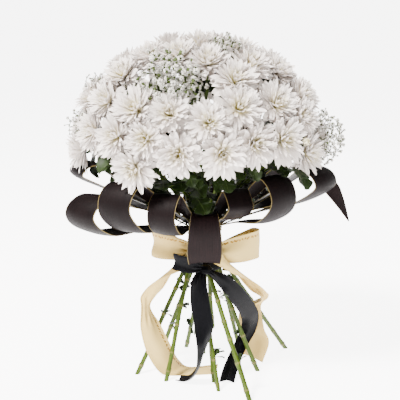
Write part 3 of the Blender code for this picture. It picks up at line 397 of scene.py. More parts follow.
# Gypsophila: angle at the tie, middle of the spray and its reach each way, middle and
# reach of its florets, how many there are and their radius in mm.
GYPSOPHILA = (
    (33, (0.160, -0.030, 0.345), (0.030, 0.050, 0.070),
     (0.164, -0.042, 0.358), (0.032, 0.048, 0.078), 270, 2.3),
    (22, (-0.052, -0.092, 0.412), (0.032, 0.030, 0.030),
     (-0.022, -0.106, 0.396), (0.054, 0.022, 0.046), 170, 4.9),
    (71, (0.020, -0.052, 0.452), (0.026, 0.030, 0.016),
     (0.022, -0.056, 0.448), (0.034, 0.034, 0.022), 60, 3.0),
    (155, (-0.150, -0.012, 0.394), (0.026, 0.030, 0.028),
     (-0.146, -0.026, 0.394), (0.032, 0.034, 0.034), 80, 2.4),
    (166, (-0.176, -0.045, 0.352), (0.020, 0.028, 0.030),
     (-0.170, -0.045, 0.352), (0.020, 0.030, 0.034), 50, 2.2),
    (115, (-0.020, 0.145, 0.400), (0.045, 0.024, 0.035),
     (-0.020, 0.135, 0.400), (0.050, 0.028, 0.040), 90, 2.8),
)
TWIG_RADIUS = 0.9 * MM
TWIG_OWNER, DARK_LEAF_OWNER = 20, 40


def gypsophila_line(number, owner):
    angle, middle, reach = GYPSOPHILA[number][:3]
    start = NECK_CENTRE + around(angle) * LEAF_RING
    middle = np.array(middle)
    end = middle - unit(middle - NECK_CENTRE) * 0.5 * max(reach)
    way = unit(end - NECK_CENTRE)
    above = start + UP * 3 * MM
    path = bezier(above, above + UP * 0.05 + around(angle) * 0.010, end - way * 0.05, end, 6)
    path = np.vstack((start - UP * 5 * MM, path))
    return Line(path, TWIG_RADIUS, owner, (0, 1, len(path) - 1))


class Layout:
    """Where every bloom, stem, twig and dark leaf of the bunch is."""

    def __init__(self):
        self.faces, self.outward = settle_blooms()
        self.owners = share_out()
        self.sprays = range(len(OUTER_STEMS) + len(INNER_STEMS))
        self.stems, self.stalks, lines = [], [], []
        for number in self.sprays:
            stem, grown = spray_lines(number, self.faces, self.outward, self.owners, len(lines))
            self.stems.append(stem)
            self.stalks.append(grown)
            lines += [stem] + [line for _, line in grown]
        self.twigs = [gypsophila_line(k, TWIG_OWNER + k) for k in range(len(GYPSOPHILA))]
        self.collar = collar_rows()
        guides = [line for k, rows in enumerate(self.collar)
                  for line in leaf_guides(rows, DARK_LEAF_OWNER + k)]
        bend_clear(lines + self.twigs + guides)
        self.hearts = self.faces - self.outward * HEART_DEPTH
        self.sizes = np.array([radius for _, _, radius in BLOOMS]) * MM


LAYOUT = Layout()


# Shader maths

class Field:
    """A shader socket, so that maths on it is written as an expression."""

    def __init__(self, finish, socket):
        self.finish, self.socket = finish, socket

    def maths(self, operation, *values):
        return self.finish.node("ShaderNodeMath", {"operation": operation},
                                dict(enumerate(values)))

    def __add__(self, other):
        return self.maths("ADD", self, other)

    __radd__ = __add__

    def __sub__(self, other):
        return self.maths("SUBTRACT", self, other)

    def __rsub__(self, other):
        return self.maths("SUBTRACT", other, self)

    def __mul__(self, other):
        return self.maths("MULTIPLY", self, other)

    __rmul__ = __mul__

    def __abs__(self):
        return self.maths("ABSOLUTE", self)

    def sine(self):
        return self.maths("SINE", self)

    def ramp(self, low, high):
        """0 at low and below, 1 at high and above, with a soft change between."""
        return self.finish.node("ShaderNodeMapRange", {"interpolation_type": "SMOOTHSTEP"},
                                {0: self, 1: low, 2: high, 3: 0.0, 4: 1.0})


class Finish:
    """A material, its Principled shader and the nodes that feed it."""

    def __init__(self, name, roughness, **constants):
        self.material = bpy.data.materials.new(name)
        self.material.use_nodes = True
        self.tree = self.material.node_tree
        self.shader = self.tree.nodes["Principled BSDF"]
        self.shader.inputs["Roughness"].default_value = roughness
        for socket, value in constants.items():
            self.shader.inputs[socket.replace("_", " ")].default_value = value

    def node(self, kind, settings=None, inputs=None, output=0):
        made = self.tree.nodes.new(kind)
        for name, value in (settings or {}).items():
            setattr(made, name, value)
        for name, value in (inputs or {}).items():
            self.plug(value, made.inputs[name])
        return Field(self, made.outputs[output])

    def plug(self, value, socket):
        if isinstance(value, Field):
            self.tree.links.new(value.socket, socket)
        elif socket.type == "RGBA":
            socket.default_value = (*value, 1)
        else:
            socket.default_value = value

    def carried(self, name):
        """A number that the mesh carries at each of its points."""
        return self.node("ShaderNodeAttribute", {"attribute_name": name}, output=2)

    def mix(self, factor, one, two):
        return self.node("ShaderNodeMix", {"data_type": "RGBA"}, {0: factor, 6: one, 7: two}, 2)

    def combine(self, x, y, z=0.0):
        return self.node("ShaderNodeCombineXYZ", None, {0: x, 1: y, 2: z})

    def noise(self, scale, detail=3.0, place=None):
        place = place or self.node("ShaderNodeTexCoord", output=3)
        return self.node("ShaderNodeTexNoise", None,
                         {"Vector": place, "Scale": scale, "Detail": detail})

    def colour(self, value):
        self.plug(value, self.shader.inputs["Base Color"])

    def rough(self, value):
        self.plug(value, self.shader.inputs["Roughness"])

    def bump(self, height, strength, distance):
        normal = self.node("ShaderNodeBump", None,
                           {"Height": height, "Strength": strength, "Distance": distance})
        self.plug(normal, self.shader.inputs["Normal"])


def shaded(colour, share):
    """A darker or paler tone of a colour."""
    return [c * share for c in colour]


def petal_finish(name, warm, white, painted_glow=0.0):
    """Petals: white, warmer at the foot, with fine grooves along them, and a painted glow of their
    own colour if asked.
    """
    made = Finish(name, 0.55, Subsurface_Weight=0.2, Subsurface_Radius=(0.006, 0.0055, 0.005),
                  Subsurface_Scale=1.0, Specular_IOR_Level=0.3, Emission_Strength=painted_glow)
    along, across = made.carried("along"), made.carried("across")
    depth, tone = made.carried("depth"), made.carried("tone")
    pale = (along * 0.85 + depth * 1.1).ramp(0.12, 1.0)
    body = made.mix(pale, warm, white)
    groove = (across * 14.0).sine() * 0.5 + 0.5
    shade = 0.88 + 0.12 * tone - groove * 0.04
    body = made.node("ShaderNodeMix", {"data_type": "RGBA", "blend_type": "MULTIPLY"},
                     {0: 1.0, 6: body, 7: made.combine(shade, shade, shade)}, 2)
    made.colour(body)
    # Painted glow: the petals give off their own colour at the glow strength, which lifts their
    # shade as if light shone through them.
    made.plug(body, made.shader.inputs["Emission Color"])
    made.bump(groove + made.noise(900.0) * 0.3, 0.35, 0.0004)
    return made.material


def leaf_finish(name, dark, light, vein):
    """Green leaf: a paler rib and side veins, mottled between them."""
    made = Finish(name, 0.45, Specular_IOR_Level=0.15)
    along, across = made.carried("along"), made.carried("across")
    side = abs(across)
    rib = 1.0 - side.ramp(0.02, 0.10)
    fan = abs((along * 34.0 - side * 9.0).sine())
    veins = (1.0 - fan.ramp(0.0, 0.22)) * (1.0 - side.ramp(0.75, 1.0))
    lines = rib + veins * 0.55
    mottle = made.noise(160.0)
    body = made.mix(mottle.ramp(0.3, 0.7), dark, light)
    made.colour(made.mix(lines.ramp(0.0, 1.2), body, vein))
    made.rough(0.38 + mottle * 0.2)
    made.bump(mottle * 0.4 - lines * 0.6, 0.5, 0.0006)
    return made.material


def stem_finish(name, dark, light, scar, cut):
    """Stem: lengthwise ridges, mottled green, brown scars at its knots, a pale cut end."""
    made = Finish(name, 0.42, Specular_IOR_Level=0.15)
    turn, knot, end = made.carried("across"), made.carried("depth"), made.carried("tone")
    place = made.node("ShaderNodeTexCoord", output=3)
    ridges = (turn * 25.1327).sine() * 0.5 + 0.5
    streak = made.noise(55.0, place=made.node("ShaderNodeMapping", None,
                                              {"Vector": place, "Scale": (6.0, 6.0, 0.6)}))
    body = made.mix(streak.ramp(0.3, 0.7) * 0.75 + ridges * 0.25, dark, light)
    spots = made.noise(420.0).ramp(0.60, 0.70) * 0.35
    body = made.mix(knot.ramp(0.35, 1.0) * 0.55 + spots * knot.ramp(0.0, 0.4), body, scar)
    made.colour(made.mix(end, body, cut))
    made.rough(0.36 + streak * 0.16)
    made.bump(ridges * 0.6 + streak * 0.4 + made.noise(900.0) * 0.2, 0.5, 0.0005)
    return made.material


def dark_leaf_finish(name, dark, light, edge):
    """Dark leaf: fine veins along it, a duller inner face darkened with painted shade, and a thin
    pale edge.
    """
    made = Finish(name, 0.40, Specular_IOR_Level=0.045)
    along, across = made.carried("along"), made.carried("across")
    inner = made.carried("depth")
    streaks = made.noise(1.0, 4.0, made.combine(along * 28.0, across * 34.0))
    veins = abs((across * 60.0).sine())
    cloud = made.noise(22.0)
    body = made.mix((streaks * 0.8 + veins * 0.2).ramp(0.30, 0.72), dark, light)
    body = made.mix(cloud.ramp(0.45, 0.75) * 0.45, body, shaded(dark, 0.6))
    # Painted shade: the inner face of each loop is darkened towards a deeper copy of the blade
    # colour.
    body = made.mix(inner * 0.55, body, shaded(dark, 0.45))
    rim = abs(across).ramp(0.955, 0.985)
    made.colour(made.mix(rim, body, edge))
    made.rough(0.36 + streaks * 0.18 + inner * 0.1)
    made.bump(streaks * 0.7 + veins * 0.3, 0.55, 0.0005)
    return made.material


def satin_finish(name, body, shade, roughness, shine, gold=None):
    """Satin ribbon: crosswise weave, soft lengthwise sheen, painted shade on its back face and, if
    asked, gold dashes.
    """
    made = Finish(name, roughness, Specular_IOR_Level=shine)
    along, across = made.carried("along"), made.carried("across")
    back = made.carried("depth")
    warp = (across * 420.0).sine() * 0.5 + 0.5
    weft = (along * 9000.0).sine() * 0.5 + 0.5
    slubs = made.noise(1.0, 2.0, made.combine(along * 60.0, across * 90.0))
    # Painted shade: the back face leans towards the shade colour; the slubs lean towards it at
    # random as well.
    colour = made.mix(slubs.ramp(0.35, 0.75) * 0.35 + back * 0.35, body, shade)
    hem = abs(across).ramp(0.93, 0.96) * (1.0 - abs(across).ramp(0.965, 0.985))
    if gold is not None:
        off = abs(across - 0.70 - (along * 1350.0).sine() * 0.035)
        row = 1.0 - off.ramp(0.055, 0.085)
        dash = made.noise(1.0, 1.0, made.combine(along * 330.0, 0.0)).ramp(0.44, 0.50)
        dot = row * dash
        colour = made.mix(dot, colour, gold)
        made.plug(dot * 0.5, made.shader.inputs["Metallic"])
    made.colour(colour)
    made.rough(roughness + slubs * 0.08 + back * 0.12)
    made.bump(warp * 0.4 + weft * 0.3 + hem * 0.8 + slubs * 0.3, 0.35, 0.0003)
    return made.material


# Meshes

class Fabric:
    """Faces and the numbers that their points carry, gathered into one mesh."""

    CARRIED = ("along", "across", "depth", "tone")

    def __init__(self):
        self.points, self.quads, self.sharp = [], [], []
        self.slots, self.values, self.count = [], [], 0

    def add(self, points, quads, values, slot=0, sharp=()):
        """Adds quads (a repeated last corner makes a triangle) with values of each point."""
        self.points.append(np.asarray(points, float))
        self.quads.append(np.asarray(quads, int) + self.count)
        if len(sharp):
            self.sharp.append(np.asarray(sharp, int) + self.count)
        self.slots.append(np.full(len(quads), slot))
        rows = np.zeros((len(points), len(self.CARRIED)))
        for k, name in enumerate(self.CARRIED):
            rows[:, k] = values.get(name, 0.0)
        self.values.append(rows)
        self.count += len(points)

    def mesh(self, name):
        points = np.vstack(self.points) + CENTRING
        faces = [tuple(dict.fromkeys(q)) for q in np.vstack(self.quads).tolist()]
        made = bpy.data.meshes.new(name)
        made.from_pydata(points.tolist(), [], faces)
        made.polygons.foreach_set("material_index", np.concatenate(self.slots))
        made.polygons.foreach_set("use_smooth", np.ones(len(faces), bool))
        values = np.vstack(self.values)
        for k, carried in enumerate(self.CARRIED):
            layer = made.attributes.new(carried, "FLOAT", "POINT")
            layer.data.foreach_set("value", values[:, k].astype(np.float32))
        if self.sharp:
            marked = np.sort(np.vstack(self.sharp), axis=1)
            keys = set(map(tuple, marked.tolist()))
            ends = np.empty(len(made.edges) * 2, int)
            made.edges.foreach_get("vertices", ends)
            ends = np.sort(ends.reshape(-1, 2), axis=1)
            flags = np.fromiter((tuple(e) in keys for e in ends.tolist()), bool, len(ends))
            layer = made.attributes.new("sharp_edge", "BOOLEAN", "EDGE")
            layer.data.foreach_set("value", flags)
        made.update()
        return made


def grid_quads(rows, columns, closed=False):
    """Corners of the quads between rows of points, closed round each row if asked."""
    r = np.arange(rows - 1)[:, None] * columns
    c = np.arange(columns if closed else columns - 1)[None]
    n = (c + 1) % columns
    return np.stack((r + c, r + n, r + columns + n, r + columns + c), axis=-1).reshape(-1, 4)


def place_piece(name, fabric, finishes, node):
    """Makes the piece, lets it stand for its solid and puts it on the bunch."""
    piece = bpy.data.objects.new(name, fabric.mesh(name))
    bpy.context.scene.collection.objects.link(piece)
    for finish in finishes:
        piece.data.materials.append(finish)
    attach(piece, "root")
    for solid in ([node] if isinstance(node, str) else node):
        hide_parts(solid)
    return piece


def lengths(points):
    """How far along a line each of its points is."""
    return np.concatenate(([0], np.cumsum(np.linalg.norm(np.diff(points, axis=0), axis=1))))


def tube_faces(rows, sides):
    """Faces of a tube with both ends closed, and the edges round its ends.

    The middles of its first and last row are its last two points.
    """
    ring = np.arange(sides)
    turn = (ring + 1) % sides
    top = (rows - 1) * sides
    first, last = np.full(sides, rows * sides), np.full(sides, rows * sides + 1)
    faces = np.vstack((grid_quads(rows, sides, closed=True),
                       np.stack((first, turn, ring, ring), 1),
                       np.stack((last, top + ring, top + turn, top + turn), 1)))
    return faces, np.vstack((np.stack((ring, turn), 1), np.stack((top + ring, top + turn), 1)))


def sweep(fabric, points, radii, sides, slot=0, knots=None, ends=(0.0, 0.0), cut=None):
    """A closed tube with its own radius at each point. A cut is the first end's plane.

    Depth carries the knots. Tone carries the ends' values at the middle of each cap.
    """
    points, radii = np.asarray(points, float), np.asarray(radii, float)
    ways = units(np.gradient(points, axis=0))
    side = unit(np.cross(ways[0], (0.3, 0.9, 0.2)))
    length = lengths(points)
    angles = 2 * np.pi * np.arange(sides)[:, None] / sides
    rows = []
    for point, way, radius in zip(points, ways, radii):
        side = unit(side - way * (side @ way))
        other = np.cross(way, side)
        rows.append(point + radius * (np.cos(angles) * side + np.sin(angles) * other))
    rows = np.array(rows)
    if cut is not None:
        reach = ((points[0] - rows[0]) @ cut) / (ways[0] @ cut)
        rows[0] = rows[0] + reach[:, None] * ways[0]
    count = len(points)
    knots = np.zeros(count) if knots is None else knots
    body = np.vstack((rows.reshape(-1, 3), rows[0].mean(0), rows[-1].mean(0)))
    faces, rims = tube_faces(count, sides)
    fabric.add(body, faces, {
        "along": np.append(np.repeat(length, sides), (0, length[-1])),
        "across": np.append(np.tile(np.arange(sides) / sides, count), (0, 0)),
        "depth": np.append(np.repeat(knots, sides), (knots[0], knots[-1])),
        "tone": np.append(np.zeros(count * sides), ends),
    }, slot, rims)


# Blooms

PETAL_STATIONS = np.array((0.0, 0.28, 0.55, 0.78, 0.93, 1.0))
PETAL_WIDTHS = np.array((0.34, 0.60, 0.92, 0.88, 0.42, 0.05))
PETAL_ACROSS = np.array((-1.0, -0.52, 0.0, 0.52, 1.0))
PETAL_LINE_STEPS = 24
PETAL_THICKNESS = 0.42 * MM
GOLDEN_ANGLE = math.radians(137.508)
WALL_NEAR = 1.9
WALL_OVERLAP = 1.2 * MM
WALL_BEHIND = 6 * MM
# How far a bloom reaches, as a share of its radius, at degrees away from its axis.
ENVELOPE = ((0, 0.44), (20, 0.58), (35, 0.70), (52, 0.82), (70, 0.93), (101, 1.0), (125, 1.0))


def petal_grid():
    """Quads and sharp edges of a petal: an upper and a lower face that share their edge."""
    rows, columns = len(PETAL_STATIONS), len(PETAL_ACROSS)
    upper = np.arange(rows * columns).reshape(rows, columns)
    lower = upper.copy()
    inner = lower[1:-1, 1:-1]
    inner[:] = rows * columns + np.arange(inner.size).reshape(inner.shape)
    quads = []
    for r in range(rows - 1):
        for c in range(columns - 1):
            quads.append((upper[r, c], upper[r, c + 1], upper[r + 1, c + 1], upper[r + 1, c]))
            quads.append((lower[r, c], lower[r + 1, c], lower[r + 1, c + 1], lower[r, c + 1]))
    loop = [*upper[0], *upper[1:, -1], *upper[-1, -2::-1], *upper[-2:0:-1, 0]]
    sharp = list(zip(loop, loop[1:] + loop[:1]))
    return np.array(quads), np.array(sharp), inner.size


PETAL_QUADS, PETAL_SHARP, PETAL_LOWER = petal_grid()


def behind_walls(grid, heart, normal, walls, inset):
    """A petal pressed back from the walls that it crosses, and lifted as it gives way."""
    points = grid.reshape(-1, 3)
    for _ in range(2):
        past = (points - heart) @ walls[:, :3].T - walls[:, 3] + inset
        worst = past.argmax(axis=1)
        over = np.clip(past[np.arange(len(past)), worst], 0, None)
        away = walls[worst, :3]
        lift = normal - away * (away @ normal)[:, None]
        points = points - away * over[:, None] * 0.94 + lift * over[:, None] * 0.40
    return points.reshape(grid.shape)


def add_petals(fabric, heart, normal, radius, count, walls, rng, options):
    """Petals in a spiral round a bloom's heart, bent up where neighbours crowd them."""
    widest, spread, lean = options["widest"], options["spread"], options["lean"]
    side = unit(np.cross(normal, (0.0, 0.0, 1.0) if abs(normal[2]) < 0.9 else (1.0, 0.0, 0.0)))
    across = np.cross(normal, side)
    stops = np.round(PETAL_STATIONS * PETAL_LINE_STEPS).astype(int)
    station = np.repeat(PETAL_STATIONS[:, None], len(PETAL_ACROSS), 1)
    sideways = np.repeat(PETAL_ACROSS[None], len(PETAL_STATIONS), 0)
    for k in range(count):
        share = (k + 0.5) / count
        angle = k * GOLDEN_ANGLE + rng.normal(0, 0.15)
        tip_angle = spread * share ** options["opening"] + rng.normal(0, 6.0) + lean
        reach = np.interp(tip_angle, *zip(*ENVELOPE)) * radius
        reach *= rng.uniform(0.84, 1.05) if share > 0.2 else rng.uniform(0.74, 0.98)
        out = ring_way(side, across, angle)
        tangent = np.cross(normal, out)
        tip = math.radians(tip_angle)
        root = heart - normal * (2.5 + 3.5 * share) * MM + out * (0.6 + 3.2 * share) * MM
        end = heart + (normal * math.cos(tip) + out * math.sin(tip)) * reach
        end = end + tangent * rng.normal(0, 0.08) * reach
        length = np.linalg.norm(end - root)
        rise = math.radians(min(tip_angle * 0.80, 78.0))
        start = normal * math.cos(rise) + out * math.sin(rise)
        finish = options["curl"] * (1 - share) + rng.normal(0, 0.26) - 0.10 * share
        arrive = unit(end - root) + normal * finish - out * finish * 0.6
        line = bezier(root, root + start * length * 0.36, end - unit(arrive) * length * 0.30,
                      end, PETAL_LINE_STEPS)[stops]
        ways = units(np.gradient(line, axis=0))
        twist = rng.normal(0, 0.30)
        flat = units(tangent + np.cross(ways, tangent) * twist)
        face = units(np.cross(ways, flat))
        face *= np.sign(face @ (normal - 0.7 * out))[:, None]
        width = widest * (0.42 + 0.58 * share ** 0.8) * rng.uniform(0.82, 1.14) / 2
        width = min(width, length * 0.24)
        half = PETAL_WIDTHS * width
        cup = options["cup"] * (1.25 - 0.75 * share) * rng.uniform(0.75, 1.25)
        grid = (line[:, None] + flat[:, None] * (PETAL_ACROSS[None, :, None] * half[:, None, None])
                + face[:, None] * ((PETAL_ACROSS ** 2)[None, :, None] * cup * half[:, None, None]))
        keel = 0.10 * half[:, None, None] * np.cos(PETAL_ACROSS * 2.9)[None, :, None]
        grid = grid + face[:, None] * keel
        notch = rng.uniform(0.0, 0.035) * length
        grid[-1] -= ways[-1] * notch * (1 - np.abs(PETAL_ACROSS))[:, None]
        if len(walls):
            grid = behind_walls(grid, heart, normal, walls, rng.uniform(-2.6, 3.0) * MM)
        thick = face[1:-1, None] * PETAL_THICKNESS * (1 - 0.35 * PETAL_STATIONS[1:-1, None, None])
        lower = grid[1:-1, 1:-1] - thick
        points = np.vstack((grid.reshape(-1, 3), lower.reshape(-1, 3)))
        fabric.add(points, PETAL_QUADS, {
            "along": np.append(station.reshape(-1), station[1:-1, 1:-1].reshape(-1)),
            "across": np.append(sideways.reshape(-1), sideways[1:-1, 1:-1].reshape(-1)),
            "depth": share, "tone": rng.uniform(0, 1),
        }, 0, PETAL_SHARP)


BUD_OPTIONS = {"widest": 4.6 * MM, "spread": 24.0, "lean": 0.0, "curl": 0.55, "cup": 0.6,
               "opening": 0.62}


def bloom_options(rng):
    """No two blooms are equally open or have petals of one width."""
    return {"widest": rng.uniform(7.8, 9.4) * MM, "spread": rng.uniform(98, 107), "lean": 1.0,
            "curl": rng.uniform(0.25, 0.5), "cup": rng.uniform(0.34, 0.5),
            "opening": rng.uniform(0.60, 0.74)}


def bloom_walls(bloom):
    """Planes half way to each neighbour, and one behind the bloom's heart."""
    hearts, sizes = LAYOUT.hearts, LAYOUT.sizes
    walls = [(*-LAYOUT.outward[bloom], FACE_HEIGHT - HEART_DEPTH + WALL_BEHIND)]
    for other in range(len(hearts)):
        way = hearts[other] - hearts[bloom]
        far = np.linalg.norm(way)
        if other != bloom and far < WALL_NEAR * (sizes[bloom] + sizes[other]):
            share = sizes[bloom] / (sizes[bloom] + sizes[other])
            walls.append((*(way / far), far * share + WALL_OVERLAP))
    return np.array(walls)


# Green leaves

LEAF_RIM = 0.300
LEAF_GRID = (20, 5)
SHOOT_GRID = (9, 3)
LEAF_MARGIN = 1 * MM
TRIAL_THICKNESS = 1.6 * MM
TRIAL_LENGTH = 1.04
SHOOTS_BELOW = 0.165
KNOT_LENGTH = 2.2 * MM
CALYX_SCALES = 10
CALYX_CUP = ((0.0, 1.5), (0.15, 2.6), (0.4, 4.4), (0.7, 5.2), (1.0, 5.0))
TRIES_PER_LEAF = 26
BARK, CUP, BLADE = range(3)
FLORET, TWIG = range(2)
SCAR, CUT = (0.16, 0.12, 0.045), (0.55, 0.60, 0.36)
CALYX = (0.014, 0.030, 0.005), (0.026, 0.050, 0.009), (0.035, 0.055, 0.013)
LEAF_VEIN = (0.022, 0.036, 0.008)
BUD_FOOT, BUD_BLADE = (0.50, 0.50, 0.16), (0.86, 0.78, 0.50)


def add_green_leaf(fabric, root, along, upward, length, rng, thickness=0.5 * MM, grid=LEAF_GRID):
    """A lobed leaf from its root, arched along its length, with a face above and below."""
    along = unit(along)
    side = unit(np.cross(upward, along))
    rise = np.cross(along, side)
    s = np.linspace(0, 1, grid[0])[:, None]
    a = np.linspace(-1, 1, grid[1])[None]
    blade = np.clip((s - 0.16) / 0.84, 0, 1)
    swell = np.sin(np.pi * blade ** 0.85) ** 0.75 * (0.75 + 0.5 * blade)
    lobes = 0.50 + 0.50 * np.abs(np.sin(np.pi * (3.5 * blade + 0.05))) ** 0.55
    teeth = 1 + 0.10 * np.sin(blade * 55.0)
    width = 0.022 + 0.30 * swell * lobes * teeth
    forward = 0.20 * swell * np.abs(a) ** 1.3
    arch, droop = rng.uniform(0.15, 0.4), rng.uniform(0.4, 0.75)
    lift = arch * s - droop * s * s + 0.10 * np.abs(a) * width + 0.012 * np.sin(13 * s + 5 * a)
    lift = lift - 0.10 * (a * a) * width
    points = (root + (side * (a * width)[..., None] + along * (s + forward)[..., None]
                      + rise * lift[..., None]) * length)
    add_plate(fabric, points, thickness, BLADE, s[:, 0], a[0])


def strip(rows, widths):
    """Middle, half width, face and length at each row of a leaf or a ribbon."""
    centre = rows[:, :3]
    half = units(rows[:, 3:6]) * widths / 2
    return centre, half, units(np.cross(np.gradient(centre, axis=0), half)), lengths(centre)


def add_plate(fabric, grid, thickness, slot, along, across):
    """A thin closed plate: a grid of points, its copy below and an edge between them.

    Along and across are numbers for each row and each column. Depth is 1 on the underside.
    """
    rows, columns = grid.shape[:2]
    down = np.cross(np.gradient(grid, axis=1), np.gradient(grid, axis=0))
    down = down / np.maximum(np.linalg.norm(down, axis=2, keepdims=True), 1e-12)
    upper = (grid - down * thickness / 2).reshape(-1, 3)
    lower = (grid + down * thickness / 2).reshape(-1, 3)
    half = rows * columns
    top = grid_quads(rows, columns)[:, ::-1]
    index = np.arange(half).reshape(rows, columns)
    loop = np.concatenate((index[0], index[1:, -1], index[-1, -2::-1], index[-2:0:-1, 0]))
    after = np.roll(loop, -1)
    rim = np.stack((loop, after, after + half, loop + half), 1)[:, ::-1]
    sharp = np.vstack((np.stack((loop, after), 1), np.stack((loop, after), 1) + half))
    fabric.add(np.vstack((upper, lower)), np.vstack((top, top[:, ::-1] + half, rim)), {
        "along": np.tile(np.repeat(along, columns), 2), "across": np.tile(across, 2 * rows),
        "depth": np.repeat((0.0, 1.0), half),
    }, slot, sharp)


class Surroundings:
    """Solids and leaves that a new leaf has to stay clear of."""

    def __init__(self, names):
        self.trees = [BVHTree.FromPolygons(
            [v.co[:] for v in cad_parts[name].data.vertices],
            [p.vertices[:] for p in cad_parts[name].data.polygons]) for name in names]

    def takes(self, points, quads):
        """Adds a leaf, unless it touches what is here."""
        tree = BVHTree.FromPolygons((points + CENTRING).tolist(), quads.tolist())
        clear = not any(tree.overlap(other) for other in self.trees)
        if clear:
            self.trees.append(tree)
        return clear


# Ribbons

CREAM_WIDTH = 38 * MM
BLACK_WIDTH = 25 * MM
RIBBON_THICKNESS = 0.6 * MM
RIBBON_COLUMNS = 25
RIBBON_STEPS = 9
HULL_COLUMNS = 48
KNOT_LEAN = 0.59
# Shade colours of the ribbons: painted shade on their back faces, and the tone of their slubs.
CREAM_SHADE = (0.36, 0.235, 0.066)
BLACK_SHADE = (0.002, 0.002, 0.003)
CREAM_LEVELS = (0.164, 0.181)
BLACK_LEVELS = (0.145, 0.159)
CREAM_KNOT = (-0.007, -0.0299, 0.167)
BLACK_KNOT = (-0.004, -0.0400, 0.150)
CREAM_PIECES = (
    # right loop
    ((-0.002, -0.031, 0.170, 0, 0, 1, 0.34), (0.022, -0.042, 0.174, 0, 0, 1, 0.80),
     (0.050, -0.040, 0.179, 0.1, 0, 1, 1), (0.067, -0.026, 0.182, 0, 0, 1, 1),
     (0.057, -0.010, 0.183, 0, 0, 1, 0.85), (0.034, -0.013, 0.179, 0, 0, 1, 0.55),
     (0.014, -0.021, 0.174, 0, 0, 1, 0.35), (-0.002, -0.030, 0.170, 0, 0, 1, 0.25)),
    # left loop
    ((-0.010, -0.031, 0.170, 0, 0, 1, 0.34), (-0.036, -0.038, 0.177, 0, 0, 1, 0.75),
     (-0.062, -0.034, 0.180, 0, 0, 1, 0.9), (-0.074, -0.020, 0.181, 0, 0, 1, 0.9),
     (-0.064, -0.008, 0.182, 0, 0, 1, 0.8), (-0.045, -0.012, 0.178, 0, 0, 1, 0.55),
     (-0.027, -0.021, 0.173, 0, 0, 1, 0.35), (-0.010, -0.030, 0.170, 0, 0, 1, 0.25)),
    # left tail
    ((-0.010, -0.031, 0.169, 0, 0, 1, 0.34), (-0.034, -0.046, 0.163, 0.5, 0, 1, 0.85),
     (-0.056, -0.046, 0.146, 1, 0, 0.8, 1), (-0.073, -0.042, 0.120, 1, 0.2, 0.3, 0.8),
     (-0.082, -0.037, 0.098, 0.6, 1, 0, 0.55), (-0.076, -0.036, 0.070, 1, 0.7, 0.1, 0.8),
     (-0.066, -0.032, 0.038, 1, 0.4, 0.2, 0.9), (-0.052, -0.026, 0.012, 0.9, 0.8, 0.4, 0.9),
     (-0.034, -0.018, 0.0026, 0.5, 1, 0.02, 0.95), (0.012, -0.010, 0.0019, 0.1, 1, 0, 1)),
    # right tail
    ((-0.002, -0.031, 0.169, 0, 0, 1, 0.34), (0.020, -0.048, 0.162, -0.5, 0, 1, 0.85),
     (0.044, -0.048, 0.146, -1, 0, 0.7, 1), (0.064, -0.040, 0.122, -0.8, -0.5, 0.3, 0.8),
     (0.074, -0.022, 0.106, -0.4, -1, 0.1, 0.65), (0.058, 0.006, 0.086, -1, -0.5, 0, 0.8),
     (0.060, 0.014, 0.056, -1, 0.1, 0.1, 0.9), (0.068, 0.016, 0.036, -1, 0.2, 0.2, 0.9),
     (0.060, 0.014, 0.010, -1, 0.2, 0.4, 0.9)),
)
BLACK_PIECES = (
    # small loop at the left
    ((-0.008, -0.041, 0.153, 0, 0, 1, 0.45), (-0.022, -0.051, 0.158, 0.2, 0, 1, 0.8),
     (-0.038, -0.057, 0.163, 0.2, 0, 1, 0.85), (-0.045, -0.055, 0.165, 0.1, 0, 1, 0.85),
     (-0.038, -0.051, 0.162, 0.1, 0, 1, 0.7), (-0.010, -0.040, 0.151, 0, 0, 1, 0.35)),
    # tail that ends on the floor
    ((-0.008, -0.040, 0.150, 1, 0, 0, 0.40), (-0.013, -0.050, 0.138, 1, 0, 0.1, 0.75),
     (-0.011, -0.060, 0.110, 1, 0.1, 0.1, 1), (-0.006, -0.070, 0.080, 1, 0.3, 0.1, 1),
     (-0.008, -0.078, 0.052, 0.6, 1, 0, 0.9), (-0.014, -0.068, 0.024, 0.2, 1, 0.1, 0.8),
     (-0.026, -0.056, 0.0048, 0.3, 1, 0.1, 0.8), (-0.040, -0.050, 0.0024, 0.4, 1, 0, 0.8)),
    # tail at the right, with a slanted end
    ((-0.004, -0.040, 0.150, 1, 0, 0, 0.40), (0.014, -0.047, 0.142, 1, 0, 0.2, 0.8),
     (0.037, -0.040, 0.116, 1, 0.2, 0.3, 1), (0.055, -0.020, 0.084, 1, 0.3, 0.2, 1),
     (0.055, -0.003, 0.056, 1, 0, 0, 0.85), (0.041, -0.010, 0.031, 1, -0.2, 0, 0.75),
     (0.030, -0.036, 0.014, 1, -0.2, 0, 0.8), (0.024, -0.060, 0.003, 1, -0.2, 0, 0.8)),
)


def hull_rows(levels, clearance):
    """A band stretched round the stems: the outline of their hull at each level."""
    rows = []
    for level in levels:
        places = []
        for line in LAYOUT.stems:
            where = [np.interp(level, line.points[:, 2], line.points[:, c]) for c in (0, 1)]
            places.append((*where, np.interp(level, line.points[:, 2], line.radii)))
        places = np.array(places)
        row = []
        for k in range(HULL_COLUMNS):
            out = around(360 * k / HULL_COLUMNS)[:2]
            far = places[np.argmax(places[:, :2] @ out + places[:, 2])]
            row.append((*(far[:2] + out * (1.12 * far[2] + clearance)), level))
        rows.append(row)
    rows = np.array(rows)
    for _ in range(3):
        rows = (np.roll(rows, 1, axis=1) + 2 * rows + np.roll(rows, -1, axis=1)) / 4
    return rows


